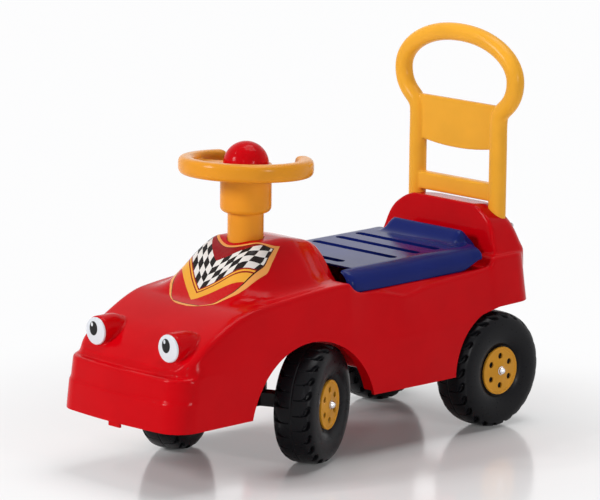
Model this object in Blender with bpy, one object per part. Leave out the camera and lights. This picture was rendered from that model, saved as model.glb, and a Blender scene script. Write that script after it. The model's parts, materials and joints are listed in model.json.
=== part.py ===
"""Push-along ride-on toy car for a small child, built from moulded shells.

Units are metres, +Z is up, the nose points along -Y and the car's left side is +X.
The origin is on the floor below the middle of the car.
"""
import math

import bmesh
import bpy
import numpy as np
from mathutils import Matrix, Vector

# Overall layout
LENGTH = 0.6344
NOSE_Y = -LENGTH / 2
WHEEL_RADIUS = 0.075
REAR_AXLE_Y = LENGTH / 2 - WHEEL_RADIUS
WHEELBASE = 0.3385
PIVOT_Y = REAR_AXLE_Y - WHEELBASE
STEER_ANGLE = math.radians(23.8)
TRACK_FRONT = 0.1820
TRACK_REAR = 0.1966
GAP = 0.0003
ROUND = 20

# Body moulding
WALL = 0.003
BODY_BOTTOM = 0.0785
BODY_TAIL_Y = 0.3165
TAIL_BOTTOM = 0.1590
NOSE_CORNER = 0.034
TAIL_CORNER = 0.030
NOSE_BOW = 0.004
NOSE_DRAFT = 0.007
BUMPER_STEP_LOW = 0.0023
STEP_LOW_Z = 0.1150
STEP_HIGH_Z = 0.1435
HOOD_FRONT_Z = 0.1465
HOOD_FRONT_Y = -0.2950
HOOD_CORNER = 0.026
SEAT_RECESS_Z = 0.2077
SEAT_RECESS_X = 0.1005
SEAT_RECESS_FRONT = -0.0130
SEAT_RECESS_BACK = 0.2320
LIP_RECESS_X = 0.0775
TAIL_LEDGE_Z = 0.2220
FRONT_ARCH_RADIUS = 0.1054
FRONT_ARCH_Z = 0.0545
FRONT_ARCH_Y = PIVOT_Y + 0.0110
REAR_ARCH_RADIUS = 0.081
ARCH_LIP_DEPTH = 0.014

# Steering column tower
COLUMN_RADIUS = 0.0225
COLUMN_WALL = 0.004
TOWER_BORE = COLUMN_RADIUS + 0.0037
TOWER_RADIUS = TOWER_BORE + WALL
TOWER_BOTTOM = 0.125
BUSH_UPPER_Z = 0.252
BUSH_HEIGHT = 0.010
COLUMN_HOLE = COLUMN_RADIUS + 0.0008
PIN_RADIUS = 0.0022
PIN_Z = 0.138
BEAM_HUB_TOP = 0.1215

# Storage well
WELL_X = 0.090
WELL_FRONT = 0.0105
WELL_FRONT_FLOOR = 0.045
WELL_BACK = 0.157
WELL_FLOOR = 0.100
WELL_WALL = 0.0025

# Backrest and push handle
BACKREST_FRONT = 0.2490
HANDLE_Y = 0.2852
HANDLE_TUBE = 0.0115
HANDLE_LEG_X = 0.071
HANDLE_NECK_Z = 0.394
HANDLE_LOOP_X = 0.0985
HANDLE_LOOP_Z = 0.441
HANDLE_TOP_Z = 0.4955
HANDLE_FOOT_Z = 0.232
HANDLE_SCREW_Z = 0.248
HANDLE_SCREW_SEAT = 0.3120

# Eyes
EYE_X = 0.065
EYE_Y = -0.2872
EYE_Z = 0.1755
EYE_RADIUS = 0.0171
STALK_RADIUS = 0.0186
STALK_DOME_Y = -0.262
STALK_DOME = 0.026

# Steering wheel
RIM_RADIUS = 0.074
RIM_WIDTH = 0.020
RIM_HEIGHT = 0.0225
RIM_TOP_Z = 0.3775
RIM_TILT = math.radians(3.0)
RIM_GAP_HALF = math.radians(49)
BOSS_RADIUS = 0.032
BOSS_BOTTOM = 0.309
BOSS_TOP = 0.369
BOSS_FLOOR = 0.322
HORN_RADIUS = 0.0285
HORN_BASE_Z = BOSS_TOP - GAP

# Seat lid
SEAT_HALF_WIDTH = 0.0995
SEAT_FRONT = -0.0105
SEAT_BACK = 0.2455
SEAT_FLANGE_BACK = 0.2310
SEAT_DECK_FRONT = 0.0095
SEAT_DECK_Z = 0.2355
SEAT_SHELL = 0.0025
SEAT_SHOULDER = 0.021
SEAT_SHOULDER_DROP = 0.019
SEAT_CORNER = 0.009
SEAT_FOOT_RISE = 0.011
SEAT_GROOVES_Y = (0.0958, 0.1383, 0.1746)
GROOVE_HALF = 0.0065
GROOVE_WALL = 0.002
HINGE_Y = 0.2380
HINGE_Z = 0.2375
HINGE_X = 0.045
HINGE_PIN = 0.0015
LIP_HEIGHT = 0.0155
LIP_TOP_Y = 0.2300
LIP_HALF_WIDTH = 0.0735

# Wheels and axles
TYRE_WIDTH = 0.054
TYRE_WALL = 0.003
LUGS = 24
HUB_RADIUS = 0.031
HUB_FACE = 0.0240
HUB_PLATE = 0.003
HUB_HOLES = 6
SLEEVE_RADIUS = 0.0085
AXLE_RADIUS = 0.004
FRONT_BEAM_HALF = 0.058
REAR_BEAM_HALF = 0.064
BEAM_TOP = 0.1570
BEAM_FLANGE = 0.0035
BEAM_SCREW_X = 0.047
BEAM_SCREW_Y = 0.0175

COLOURS = {
    "red": ((0.60, 0.004, 0.008), 0.28, 0.0),
    "yellow": ((0.88, 0.40, 0.025), 0.32, 0.0),
    "orange": ((0.85, 0.32, 0.015), 0.32, 0.0),
    "hub_yellow": ((0.72, 0.34, 0.03), 0.4, 0.0),
    "blue": ((0.010, 0.025, 0.19), 0.3, 0.0),
    "black": ((0.012, 0.012, 0.014), 0.5, 0.0),
    "white": ((0.85, 0.85, 0.82), 0.35, 0.0),
    "steel": ((0.6, 0.6, 0.6), 0.25, 1.0),
    "grey": ((0.3, 0.3, 0.3), 0.5, 0.0),
}


def clear_scene():
    for item in list(bpy.data.objects):
        bpy.data.objects.remove(item, do_unlink=True)


def material(name):
    found = bpy.data.materials.get(name)
    if found:
        return found
    colour, roughness, metallic = COLOURS[name]
    made = bpy.data.materials.new(name)
    made.use_nodes = True
    shader = made.node_tree.nodes["Principled BSDF"]
    shader.inputs["Base Color"].default_value = (*colour, 1.0)
    shader.inputs["Roughness"].default_value = roughness
    shader.inputs["Metallic"].default_value = metallic
    made.diffuse_color = (*colour, 1.0)
    return made


def smooth_curve(points, t):
    """Height at t of a curve through points that never overshoots between them."""
    x = np.array([p[0] for p in points])
    y = np.array([p[1] for p in points])
    t = np.clip(t, x[0], x[-1])
    slope = np.diff(y) / np.diff(x)
    tangent = np.zeros(len(x))
    tangent[0], tangent[-1] = slope[0], slope[-1]
    for i in range(1, len(x) - 1):
        before, after = slope[i - 1], slope[i]
        if before * after > 0:
            tangent[i] = 2 * before * after / (before + after)
    i = int(np.clip(np.searchsorted(x, t) - 1, 0, len(x) - 2))
    span = x[i + 1] - x[i]
    u = (t - x[i]) / span
    return float(y[i] * (2 * u**3 - 3 * u**2 + 1) + y[i + 1] * (3 * u**2 - 2 * u**3)
                 + span * (tangent[i] * (u**3 - 2 * u**2 + u) + tangent[i + 1] * (u**3 - u**2)))


def ease(t):
    t = min(max(t, 0.0), 1.0)
    return t * t * (3 - 2 * t)


def make(name, points, faces, colour="grey", parent=None, sharp=35):
    """One closed mesh object with its faces pointing out."""
    mesh = bpy.data.meshes.new(name)
    mesh.from_pydata([tuple(p) for p in points], [], [tuple(f) for f in faces])
    shape = bmesh.new()
    shape.from_mesh(mesh)
    bmesh.ops.remove_doubles(shape, verts=shape.verts, dist=0.00001)
    bmesh.ops.dissolve_degenerate(shape, edges=shape.edges, dist=0.00001)
    bmesh.ops.recalc_face_normals(shape, faces=shape.faces)
    shape.to_mesh(mesh)
    shape.free()
    item = bpy.data.objects.new(name, mesh)
    bpy.context.collection.objects.link(item)
    dress(item, colour, sharp)
    if parent:
        item.parent = parent
    return item


def dress(item, colour, sharp=35):
    item.data.materials.clear()
    item.data.materials.append(material(colour))
    item.data.shade_smooth()
    item.data.set_sharp_from_angle(angle=math.radians(sharp))


def combine(item, tool, operation):
    """Join, cut or intersect item with tool, which is used up."""
    step = item.modifiers.new(operation.lower(), "BOOLEAN")
    step.operation = operation
    step.solver = "EXACT"
    step.object = tool
    bpy.context.view_layer.update()
    seen = item.evaluated_get(bpy.context.evaluated_depsgraph_get())
    result = bpy.data.meshes.new_from_object(seen)
    item.modifiers.clear()
    item.data = result
    tidy(result)
    bpy.data.objects.remove(tool, do_unlink=True)
    return item


def tidy(mesh):
    """Weld the slivers that a cut leaves and drop the edges inside flat faces."""
    shape = bmesh.new()
    shape.from_mesh(mesh)
    bmesh.ops.remove_doubles(shape, verts=shape.verts, dist=0.00001)
    bmesh.ops.dissolve_degenerate(shape, edges=shape.edges, dist=0.00001)
    bmesh.ops.dissolve_limit(shape, angle_limit=math.radians(0.1), verts=shape.verts, edges=shape.edges)
    bmesh.ops.triangulate(shape, faces=[f for f in shape.faces if len(f.verts) > 4])
    shape.to_mesh(mesh)
    shape.free()


def join(item, tool):
    return combine(item, tool, "UNION")


def cut(item, tool):
    return combine(item, tool, "DIFFERENCE")


def keep_inside(item, tool):
    return combine(item, tool, "INTERSECT")


def loft(rings, closed=False):
    """Points and faces of a skin over rings of equal counts, capped at both ends unless closed."""
    count = len(rings[0])
    points = [p for ring in rings for p in ring]
    faces = []
    pairs = len(rings) if closed else len(rings) - 1
    for i in range(pairs):
        a, b = i * count, (i + 1) % len(rings) * count
        for k in range(count):
            n = (k + 1) % count
            faces.append((a + k, a + n, b + n, b + k))
    if not closed:
        faces.append(tuple(range(count))[::-1])
        faces.append(tuple(range((len(rings) - 1) * count, len(rings) * count)))
    return points, faces


def stitched(rings):
    """A closed skin over rings whose counts may halve or double from one to the next."""
    starts = np.cumsum([0] + [len(r) for r in rings])
    points = [p for ring in rings for p in ring]
    faces = []
    for i in range(len(rings)):
        j = (i + 1) % len(rings)
        a, b, n, m = starts[i], starts[j], len(rings[i]), len(rings[j])
        for k in range(max(n, m)):
            k2 = k + 1
            p, p2 = a + k * n // max(n, m) % n, a + k2 * n // max(n, m) % n
            q, q2 = b + k * m // max(n, m) % m, b + k2 * m // max(n, m) % m
            face = [p, p2, q2, q]
            faces.append([v for s, v in enumerate(face) if v not in face[:s]])
    return points, faces


def turned(name, profile, colour="grey", parent=None, segments=32, axis="Z", sharp=35):
    """A solid turned from a closed outline of (radius, height) pairs."""
    angles = [2 * math.pi * k / segments for k in range(segments)]
    rings = [[place(r, h, a, axis) for a in angles] for r, h in profile]
    on_axis = profile[0][0] == 0 and profile[-1][0] == 0
    if not on_axis:
        return make(name, *loft(rings, closed=True), colour, parent, sharp)
    points, faces = loft(rings)
    return make(name, points, faces[:-2], colour, parent, sharp)


def place(radius, height, angle, axis):
    u, v = radius * math.cos(angle), radius * math.sin(angle)
    return {"Z": (u, v, height), "X": (height, u, v), "Y": (u, height, v)}[axis]


def rod(name, radius, start, end, colour="grey", parent=None, segments=16, axis="Z", at=(0, 0, 0), bore=0):
    profile = [(bore, start), (radius, start), (radius, end), (bore, end)]
    item = turned(name, profile, colour, parent, segments, axis)
    item.data.transform(Matrix.Translation(at))
    return item


def block(name, low, high, colour="grey", parent=None, round_by=0.0, steps=2):
    corners = [(x, y, z) for z in (low[2], high[2]) for x, y in
               ((low[0], low[1]), (high[0], low[1]), (high[0], high[1]), (low[0], high[1]))]
    faces = [(3, 2, 1, 0), (4, 5, 6, 7), (0, 1, 5, 4), (1, 2, 6, 5), (2, 3, 7, 6), (3, 0, 4, 7)]
    item = make(name, corners, faces, colour, parent)
    if round_by:
        soften(item, round_by, steps)
    return item


def soften(item, width, steps=2, angle=50):
    step = item.modifiers.new("round", "BEVEL")
    step.width = width
    step.segments = steps
    step.limit_method = "ANGLE"
    step.angle_limit = math.radians(angle)
    bpy.context.view_layer.update()
    seen = item.evaluated_get(bpy.context.evaluated_depsgraph_get())
    result = bpy.data.meshes.new_from_object(seen)
    item.modifiers.clear()
    item.data = result
    return item


def prism(name, outline, low, high, axis="X", colour="grey"):
    """An outline of (u, v) pairs drawn out along an axis."""
    orders = {"X": (2, 0, 1), "Y": (0, 2, 1), "Z": (0, 1, 2)}[axis]
    rings = [[[(u, v, w)[k] for k in orders] for u, v in outline] for w in (low, high)]
    return make(name, *loft(rings), colour)


def arc(centre, radius, start, end, steps):
    turns = [math.radians(start + (end - start) * k / steps) for k in range(steps + 1)]
    return [(centre[0] + radius * math.cos(t), centre[1] + radius * math.sin(t)) for t in turns]


# Body form: the top is a height over the plan, and the wall follows the plan outline
HOOD_LINE = ((HOOD_FRONT_Y, HOOD_FRONT_Z), (-0.2935, 0.1500), (-0.2870, 0.1568), (-0.2740, 0.1685),
             (-0.2440, 0.1880), (-0.1900, 0.2100), (-0.1780, 0.2122), (-0.1160, 0.2180),
             (-0.0455, 0.2228), (-0.0160, 0.2236))
PEDESTAL_LINE = ((-0.1860, 0.2110), (-0.1780, 0.2180), (-0.1280, 0.2680), (-0.1060, 0.2768),
                 (-0.0700, 0.2770), (-0.0300, 0.2700), (-0.0130, 0.2645), (-0.0030, 0.2565),
                 (0.0020, 0.2470), (0.0050, 0.2300), (0.0070, SEAT_RECESS_Z))
EDGE_LINE = ((-0.0160, 0.2234), (-0.0087, 0.2175), (0.0145, 0.2072), (0.0400, 0.2009), (0.0720, 0.1930),
             (0.0920, 0.1890), (0.1080, 0.1925), (0.1350, 0.1990), (0.1700, 0.2050), (0.2350, 0.2150),
             (0.2600, 0.2220), (BODY_TAIL_Y, 0.2222))
TOP_WIDTH = ((NOSE_Y, 0.1000), (-0.1840, 0.1010), (-0.0455, 0.1020), (-0.0120, 0.1038), (0.0180, 0.1048),
             (0.0720, 0.1095), (0.0920, 0.1115), (0.1250, 0.1105), (0.1700, 0.1095), (0.2600, 0.1080),
             (BODY_TAIL_Y, 0.1075))
BOTTOM_WIDTH = ((NOSE_Y, 0.1095), (-0.1840, 0.1108), (0.0180, 0.1153), (0.0900, 0.1185), (0.1200, 0.1195),
                (BODY_TAIL_Y, 0.1195))
EDGE_ROUND = ((NOSE_Y, 0.012), (-0.1840, 0.008), (-0.0300, 0.004), (-0.0120, 0.0026), (0.0180, 0.0036),
              (0.0900, 0.004), (0.1250, 0.0075), (0.2300, 0.006), (0.2700, 0.004), (BODY_TAIL_Y, 0.004))
PEDESTAL_FOOT = 0.092
PEDESTAL_NARROWS = 0.015
PEDESTAL_FLAT = 0.35
NOSE_SIDE_SAG = 0.004


def roof(x, y):
    """Height of the outer top surface."""
    across = abs(x)
    base = smooth_curve(HOOD_LINE, y)
    if y < -0.184:
        base -= NOSE_SIDE_SAG * (across / 0.1) ** 4 * ease((-0.184 - y) / 0.10)
    foot = PEDESTAL_FOOT - PEDESTAL_NARROWS * ease((y + 0.060) / 0.040)
    t = (across / foot - PEDESTAL_FLAT) / (1 - PEDESTAL_FLAT)
    bell = math.cos(math.pi / 2 * min(max(t, 0.0), 1.0)) ** 2
    edge = smooth_curve(EDGE_LINE, y)
    width = smooth_curve(TOP_WIDTH, y)
    outward = (across - SEAT_RECESS_X) / max(width - SEAT_RECESS_X, 0.001)
    seat = SEAT_RECESS_Z + (edge - SEAT_RECESS_Z) * min(max(outward, 0.0), 1.0)
    shoulder = ease((across - LIP_RECESS_X) / 0.004)
    back = shoulder * ease((y - SEAT_RECESS_BACK) / 0.010)
    back += (1 - shoulder) * ease((y - HANDLE_Y - 0.005) / 0.010)
    seat += (TAIL_LEDGE_Z - seat) * back
    base += (seat - base) * ease((y - SEAT_RECESS_FRONT + 0.005) / 0.005)
    if y < PEDESTAL_LINE[0][0]:
        return base
    return base + max(smooth_curve(PEDESTAL_LINE, y) - base, 0.0) * bell


def inner_roof(x, y, inset):
    around = ((0, 0), (inset, 0), (-inset, 0), (0, inset), (0, -inset))
    return min(roof(x + dx, y + dy) for dx, dy in around) - inset


def half_outline(nose_y, tail_y, width_at, nose_corner, tail_corner, stations, across, turn):
    """Plan points of the left side, from the middle of the nose to the middle of the tail."""
    points = []
    front_half = width_at(nose_y + nose_corner) - nose_corner
    back_half = width_at(tail_y - tail_corner) - tail_corner
    for s in across:
        points.append((front_half * s, nose_y + NOSE_BOW * s * s))
    centre = (front_half, nose_y + NOSE_BOW + nose_corner)
    points += arc(centre, nose_corner, -90, 0, turn)[1:]
    for y in stations:
        points.append((width_at(y), y))
    centre = (back_half, tail_y - tail_corner)
    points += arc(centre, tail_corner, 0, 90, turn)
    for s in across[::-1][1:]:
        points.append((back_half * s, tail_y))
    return points


def tub(name, inset=0.0, floor=BODY_BOTTOM):
    """The closed outer form of the body, or the same form made smaller by inset."""
    recess = [SEAT_RECESS_FRONT - 0.005, SEAT_RECESS_FRONT]
    if inset:
        turn = 2
        across = [0, 0.4, 0.75, 1.0]
        stations = [-0.2440, -0.1880, -0.1700, -0.1280, -0.1070, -0.0560, *recess, 0.0070, 0.0920,
                    0.2000, SEAT_RECESS_BACK, SEAT_RECESS_BACK + 0.010]
        levels = [floor, STEP_HIGH_Z - inset - 0.001, STEP_HIGH_Z - inset]
        seat_columns = (SEAT_RECESS_X, LIP_RECESS_X + 0.004, LIP_RECESS_X, 0.0)
    else:
        turn = 4
        across = [0, 0.25, 0.5, 0.75, 1.0]
        stations = [-0.2440, -0.2150, -0.1880, -0.1700, -0.1480, -0.1280, -0.1070, -0.0820, -0.0560,
                    -0.0300, *recess, 0.0025, 0.0070, 0.0400, 0.0920, 0.1250, SEAT_RECESS_BACK,
                    SEAT_RECESS_BACK + 0.010]
        levels = [floor, STEP_LOW_Z - 0.001, STEP_LOW_Z, STEP_HIGH_Z - 0.001, STEP_HIGH_Z]
        seat_columns = (SEAT_RECESS_X, LIP_RECESS_X + 0.004, LIP_RECESS_X, 0.052, 0.026, 0.0)
    set_back = HOOD_FRONT_Y - NOSE_Y - NOSE_DRAFT
    depths = [0.0, 0.0, BUMPER_STEP_LOW, BUMPER_STEP_LOW, set_back][-len(levels):]
    corner_first, corner_last = len(across) - 1, len(across) - 1 + turn

    def ring(height, depth, rounding):
        """Plan outline at a height, where depth sets the nose back and rounding draws the rim in."""
        drafted = NOSE_DRAFT * max(height - BODY_BOTTOM, 0) / (STEP_HIGH_Z - BODY_BOTTOM)
        nose = NOSE_Y + min(drafted, NOSE_DRAFT) + depth + inset

        def width_at(y):
            low, top = smooth_curve(BOTTOM_WIDTH, y), smooth_curve(TOP_WIDTH, y)
            share = (height - BODY_BOTTOM) / (smooth_curve(EDGE_LINE, max(y, -0.016)) - BODY_BOTTOM)
            bowed = min(max(share, 0.0), 1.0) ** 1.7
            return low + (top - low) * bowed - inset - rounding * smooth_curve(EDGE_ROUND, y)

        tail = BODY_TAIL_Y - inset - 0.008 * min(max((height - 0.15) / 0.07, 0), 1)
        tail -= rounding * smooth_curve(EDGE_ROUND, BODY_TAIL_Y)
        corner = (HOOD_CORNER if depth == set_back else NOSE_CORNER) - inset / 2
        return half_outline(nose, tail, width_at, corner, TAIL_CORNER, stations, across, turn)

    def top_of(x, y):
        return inner_roof(x, y, inset) if inset else roof(x, y)

    rings = [[(x, y, z) for x, y in ring(z, d, 0.0)] for z, d in zip(levels, depths)]
    rim = ring(0.205, depths[-1], 1.0)
    rim_round = []
    for k, (x, y) in enumerate(rim):
        rim_round.append(smooth_curve(EDGE_ROUND, y) * ease((k - corner_first) / turn))
    rim_top = [top_of(x, y) for x, y in rim]
    wall_top = ring(0.205, depths[-1], 0.0)
    straight = []
    for k, (x, y) in enumerate(wall_top):
        straight.append((x, y, rim_top[k] - rim_round[k]))
    middle = []
    for (x, y), low, high in zip(ring(0.180, depths[-1], 0.0), rings[-1], straight):
        middle.append((x, y, (low[2] + high[2]) / 2))
    rings += [middle, straight]
    lean, rise = 1 - math.cos(math.radians(45)), math.sin(math.radians(45))
    rings.append([(a[0] + (b[0] - a[0]) * lean, a[1] + (b[1] - a[1]) * lean, h - r + r * rise)
                  for a, b, h, r in zip(wall_top, rim, rim_top, rim_round)])
    rings.append([(x, y, h) for (x, y), h in zip(rim, rim_top)])

    whole = [half + [(-x, y, z) for x, y, z in half[-2:0:-1]] for half in rings]
    count = len(whole[0])
    points = [p for loop in whole for p in loop]
    faces = []
    for i in range(len(whole) - 1):
        for k in range(count):
            n = (k + 1) % count
            faces.append((i * count + k, i * count + n, (i + 1) * count + n, (i + 1) * count + k))
    faces.append(tuple(range(count)))

    start = (len(whole) - 1) * count
    half_count = len(rings[0])
    corner = corner_first + turn // 2
    last_corner = half_count - 1 - corner
    rows = last_corner - corner
    columns = 2 * corner
    grid = {}
    for i in range(rows + 1):
        grid[i, columns] = start + corner + i
        grid[i, 0] = start + (count - corner - i) % count
    for j in range(columns + 1):
        grid[0, j] = start + (j - corner) % count
        grid[rows, j] = start + (last_corner + columns - j) % count
    for i in range(1, rows):
        for j in range(1, columns):
            west, east = np.array(points[grid[i, 0]][:2]), np.array(points[grid[i, columns]][:2])
            north, south = np.array(points[grid[0, j]][:2]), np.array(points[grid[rows, j]][:2])
            row_start, row_end = points[grid[0, 0]][0], points[grid[0, columns]][0]
            share_x = (north[0] - row_start) / (row_end - row_start)
            x, y = west + (east - west) * share_x
            if y > SEAT_RECESS_FRONT - 0.006:
                from_edge = min(j, columns - j)
                x = math.copysign(min(seat_columns[from_edge - 1], east[0] - 0.0004), x)
            y += (north[1] - points[grid[0, 0]][1]) * max(1 - i / 3, 0)
            y += (south[1] - points[grid[rows, 0]][1]) * max(1 - (rows - i) / 3, 0)
            grid[i, j] = len(points)
            points.append((float(x), float(y), top_of(float(x), float(y))))
    for i in range(rows):
        for j in range(columns):
            faces.append((grid[i, j], grid[i, j + 1], grid[i + 1, j + 1], grid[i + 1, j]))
    return make(name, points, faces, "red")


def backrest(name, inset=0.0, low=0.200):
    """The upper block behind the seat, leaning in on every side, as a loft of level rings."""
    shape = ((low, 0.1035), (0.2220, 0.1025), (0.2320, 0.0990), (0.2500, 0.0928), (0.2620, 0.0855),
             (0.2710, 0.0750), (0.2770, 0.0650), (0.2810, 0.0540))
    rings = []
    for z, half in shape:
        if inset and z > 0.278:
            continue
        lean = (max(z, 0.222) - 0.222) / 0.059
        front = BACKREST_FRONT + 0.008 * lean + inset
        back = 0.3135 - 0.0155 * lean - inset
        side = half - inset
        outline = []
        for cx, cy, start, r in ((side, back, 0, 0.018), (-side, back, 90, 0.018),
                                 (-side, front, 180, 0.004), (side, front, 270, 0.004)):
            centre = (cx - math.copysign(r, cx), cy + (r if start >= 180 else -r))
            outline += arc(centre, r, start, start + 90, 3 if r > 0.01 else 1)
        fall = 0.10 * lean
        height = z - (inset if z > 0.26 else 0)
        rings.append([(x, y, height - fall * (y - front)) for x, y in outline])
    return make(name, *loft(rings), "red")


def arch_cutter(name):
    """Opens both front arches and both rear arches with the raised tail behind them."""
    far = 0.2
    front = prism(name, arc((FRONT_ARCH_Y, FRONT_ARCH_Z), FRONT_ARCH_RADIUS, -6, 186, 20), -far, far)
    centre = (REAR_AXLE_Y, WHEEL_RADIUS + GAP)
    outline = arc(centre, REAR_ARCH_RADIUS, 188, 110, 9)
    outline += [(REAR_AXLE_Y + 0.004, TAIL_BOTTOM - 0.002), (0.4, TAIL_BOTTOM + 0.001), (0.4, 0.05)]
    outline += [(REAR_AXLE_Y - 0.0815, 0.05)]
    return join(front, prism("rear_arch", outline, -far, far))


def arch_lip():
    """The flange that turns inwards along the upper and rear part of each front arch."""
    centre = (FRONT_ARCH_Y, FRONT_ARCH_Z)
    outer = arc(centre, FRONT_ARCH_RADIUS + 0.0025, 16, 92, 9)
    inner = arc(centre, FRONT_ARCH_RADIUS, 92, 16, 9)
    lip = prism("arch_lip", outer + inner, -0.13, 0.13)
    lip = keep_inside(lip, tub("lip_limit", 0.0012, 0.07))
    middle = 0.1125 - ARCH_LIP_DEPTH
    return cut(lip, block("lip_middle", (-middle, -0.3, 0), (middle, 0.3, 0.3)))


def well_form(name, grow=0.0, top=0.26):
    outline = [(WELL_FRONT - grow, top), (WELL_FRONT - grow, 0.195),
               (WELL_FRONT_FLOOR - grow, WELL_FLOOR - grow), (WELL_BACK + grow, WELL_FLOOR - grow),
               (WELL_BACK + grow, top)]
    item = prism(name, outline[::-1], -WELL_X - grow, WELL_X + grow)
    return soften(item, 0.006 + grow, 2, 30)


def body_shell():
    shell = cut(tub("body_shell"), tub("inside", WALL, BODY_BOTTOM - 0.03))
    cut(shell, arch_cutter("arches"))
    join(shell, arch_lip())

    join(shell, backrest("block_outer"))
    cut(shell, backrest("block_inner", WALL, 0.190))

    for side in (-1, 1):
        front = EYE_Y + 0.0024 + GAP
        dome = [(STALK_RADIUS * u, STALK_DOME_Y + STALK_DOME * v) for u, v in arc((0, 0), 1, 0, 72, 4)]
        outline = [(0, front), (STALK_RADIUS, front), *dome, (0, STALK_DOME_Y + STALK_DOME)]
        stalk = turned("stalk", outline, "red", segments=ROUND, axis="Y")
        stalk.data.transform(Matrix.Translation((side * EYE_X, 0, EYE_Z)))
        join(shell, stalk)
        cut(shell, rod("stalk_bore", STALK_RADIUS - WALL, front + WALL, STALK_DOME_Y + WALL, segments=12,
                       axis="Y", at=(side * EYE_X, 0, EYE_Z)))
        x, low = side * EYE_X, EYE_Z - STALK_RADIUS - WALL
        cut(shell, block("stalk_opening", (x - 0.008, STALK_DOME_Y - 0.010, low),
                         (x + 0.008, STALK_DOME_Y, EYE_Z - 0.010)))

    tower = rod("tower", TOWER_RADIUS, TOWER_BOTTOM, 0.30, segments=ROUND, at=(0, PIVOT_Y, 0))
    inner_parts = join(well_form("well_outer", WELL_WALL), tower)
    keep_inside(inner_parts, tub("limit", 0.0015, 0.05))
    for side in (-1, 1):
        leg_foot = (side * HANDLE_LEG_X, HANDLE_Y, 0)
        socket = rod("socket", HANDLE_TUBE + WALL, HANDLE_FOOT_Z - WALL, 0.29, segments=12, at=leg_foot)
        join(inner_parts, keep_inside(socket, backrest("socket_limit", 0.0015, 0.190)))
        x = side * BEAM_SCREW_X
        join(inner_parts, rod("front_boss", 0.006, BEAM_TOP + GAP, 0.2062, segments=12,
                              at=(x, REAR_AXLE_Y - BEAM_SCREW_Y, 0)))
        rear_boss = rod("rear_boss", 0.006, BEAM_TOP + GAP, 0.29, segments=12,
                        at=(x, REAR_AXLE_Y + BEAM_SCREW_Y, 0))
        join(inner_parts, keep_inside(rear_boss, backrest("boss_limit", 0.0015, 0.150)))
    join(shell, inner_parts)

    cut(shell, well_form("well"))
    shoulder = BUSH_UPPER_Z + BUSH_HEIGHT + GAP
    cut(shell, rod("tower_bore", TOWER_BORE, 0.10, shoulder, segments=ROUND, at=(0, PIVOT_Y, 0)))
    cut(shell, rod("column_hole", COLUMN_HOLE, shoulder - 0.001, 0.31, segments=ROUND, at=(0, PIVOT_Y, 0)))
    for side in (-1, 1):
        cut(shell, rod("leg_socket", HANDLE_TUBE + 2 * GAP, HANDLE_FOOT_Z - GAP, 0.31, segments=12,
                       at=(side * HANDLE_LEG_X, HANDLE_Y, 0)))
        cut(shell, rod("screw_way", 0.0024, HANDLE_Y, 0.33, segments=8, axis="Y",
                       at=(side * HANDLE_LEG_X, 0, HANDLE_SCREW_Z)))
        for offset in (-BEAM_SCREW_Y, BEAM_SCREW_Y):
            cut(shell, rod("pilot", 0.0021, 0.15, 0.1735, segments=8,
                           at=(side * BEAM_SCREW_X, REAR_AXLE_Y + offset, 0)))
        outline = arc((HINGE_Y, HINGE_Z), 0.0032, 90, 250, 5) + [(BACKREST_FRONT + 0.0035, HINGE_Z - 0.0080),
                                                                 (BACKREST_FRONT + 0.0035, HINGE_Z + 0.0032)]
        join(shell, prism("ear", outline, side * HINGE_X - 0.003, side * HINGE_X + 0.003))
        cut(shell, rod("ear_hole", HINGE_PIN + GAP, side * HINGE_X - 0.01, side * HINGE_X + 0.01, segments=12,
                       axis="X", at=(0, HINGE_Y, HINGE_Z)))
    tab = block("tab", (-0.010, NOSE_Y + 0.0025, BODY_BOTTOM - 0.006),
                (0.010, NOSE_Y + 0.0055, BODY_BOTTOM + 0.004))
    join(shell, tab)
    dress(shell, "red")
    return shell


def rear_axle_beam():
    y = REAR_AXLE_Y
    beam = block("rear_axle_beam", (-REAR_BEAM_HALF, y - 0.011, 0.064), (REAR_BEAM_HALF, y + 0.011, 0.086))
    for side in (-1, 1):
        x = side * BEAM_SCREW_X
        join(beam, block("upright", (x - 0.009, y - 0.0105, 0.080),
                         (x + 0.009, y + 0.0105, BEAM_TOP - 0.001)))
        join(beam, block("flange", (x - 0.011, y - 0.024, BEAM_TOP - BEAM_FLANGE),
                         (x + 0.011, y + 0.024, BEAM_TOP)))
        for offset in (-BEAM_SCREW_Y, BEAM_SCREW_Y):
            cut(beam, rod("hole", 0.0022, 0.14, 0.17, segments=10, at=(x, y + offset, 0)))
    cut(beam, rod("bore", AXLE_RADIUS + GAP, -0.1, 0.1, segments=16, axis="X", at=(0, y, WHEEL_RADIUS)))
    dress(beam, "black")
    return beam


def screw(name, head_radius, head, shank_radius, shank, seat, along="Z"):
    """A pan head below its seat with the shank going on from it along the axis."""
    profile = [(0, -head), (head_radius * 0.8, -head), (head_radius, -head * 0.5), (head_radius, 0),
               (shank_radius, 0), (shank_radius, shank - 0.002), (0, shank)]
    item = turned(name, profile, "steel", segments=8)
    if along == "-Y":
        item.rotation_euler = (math.radians(90), 0, 0)
    item.location = seat
    return item


def rear_beam_screws():
    for side, word in ((1, "left"), (-1, "right")):
        for offset, end in ((-BEAM_SCREW_Y, "front"), (BEAM_SCREW_Y, "rear")):
            seat = (side * BEAM_SCREW_X, REAR_AXLE_Y + offset, BEAM_TOP - BEAM_FLANGE - GAP)
            screw(f"rear_beam_screw_{word}_{end}", 0.0035, 0.0024, 0.0018, 0.0190, seat)


def handle_screws():
    for side, word in ((1, "left"), (-1, "right")):
        seat = (side * HANDLE_LEG_X, HANDLE_SCREW_SEAT, HANDLE_SCREW_Z)
        screw(f"handle_screw_{word}", 0.004, 0.0025, 0.0020, 0.0240, seat, "-Y")


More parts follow.
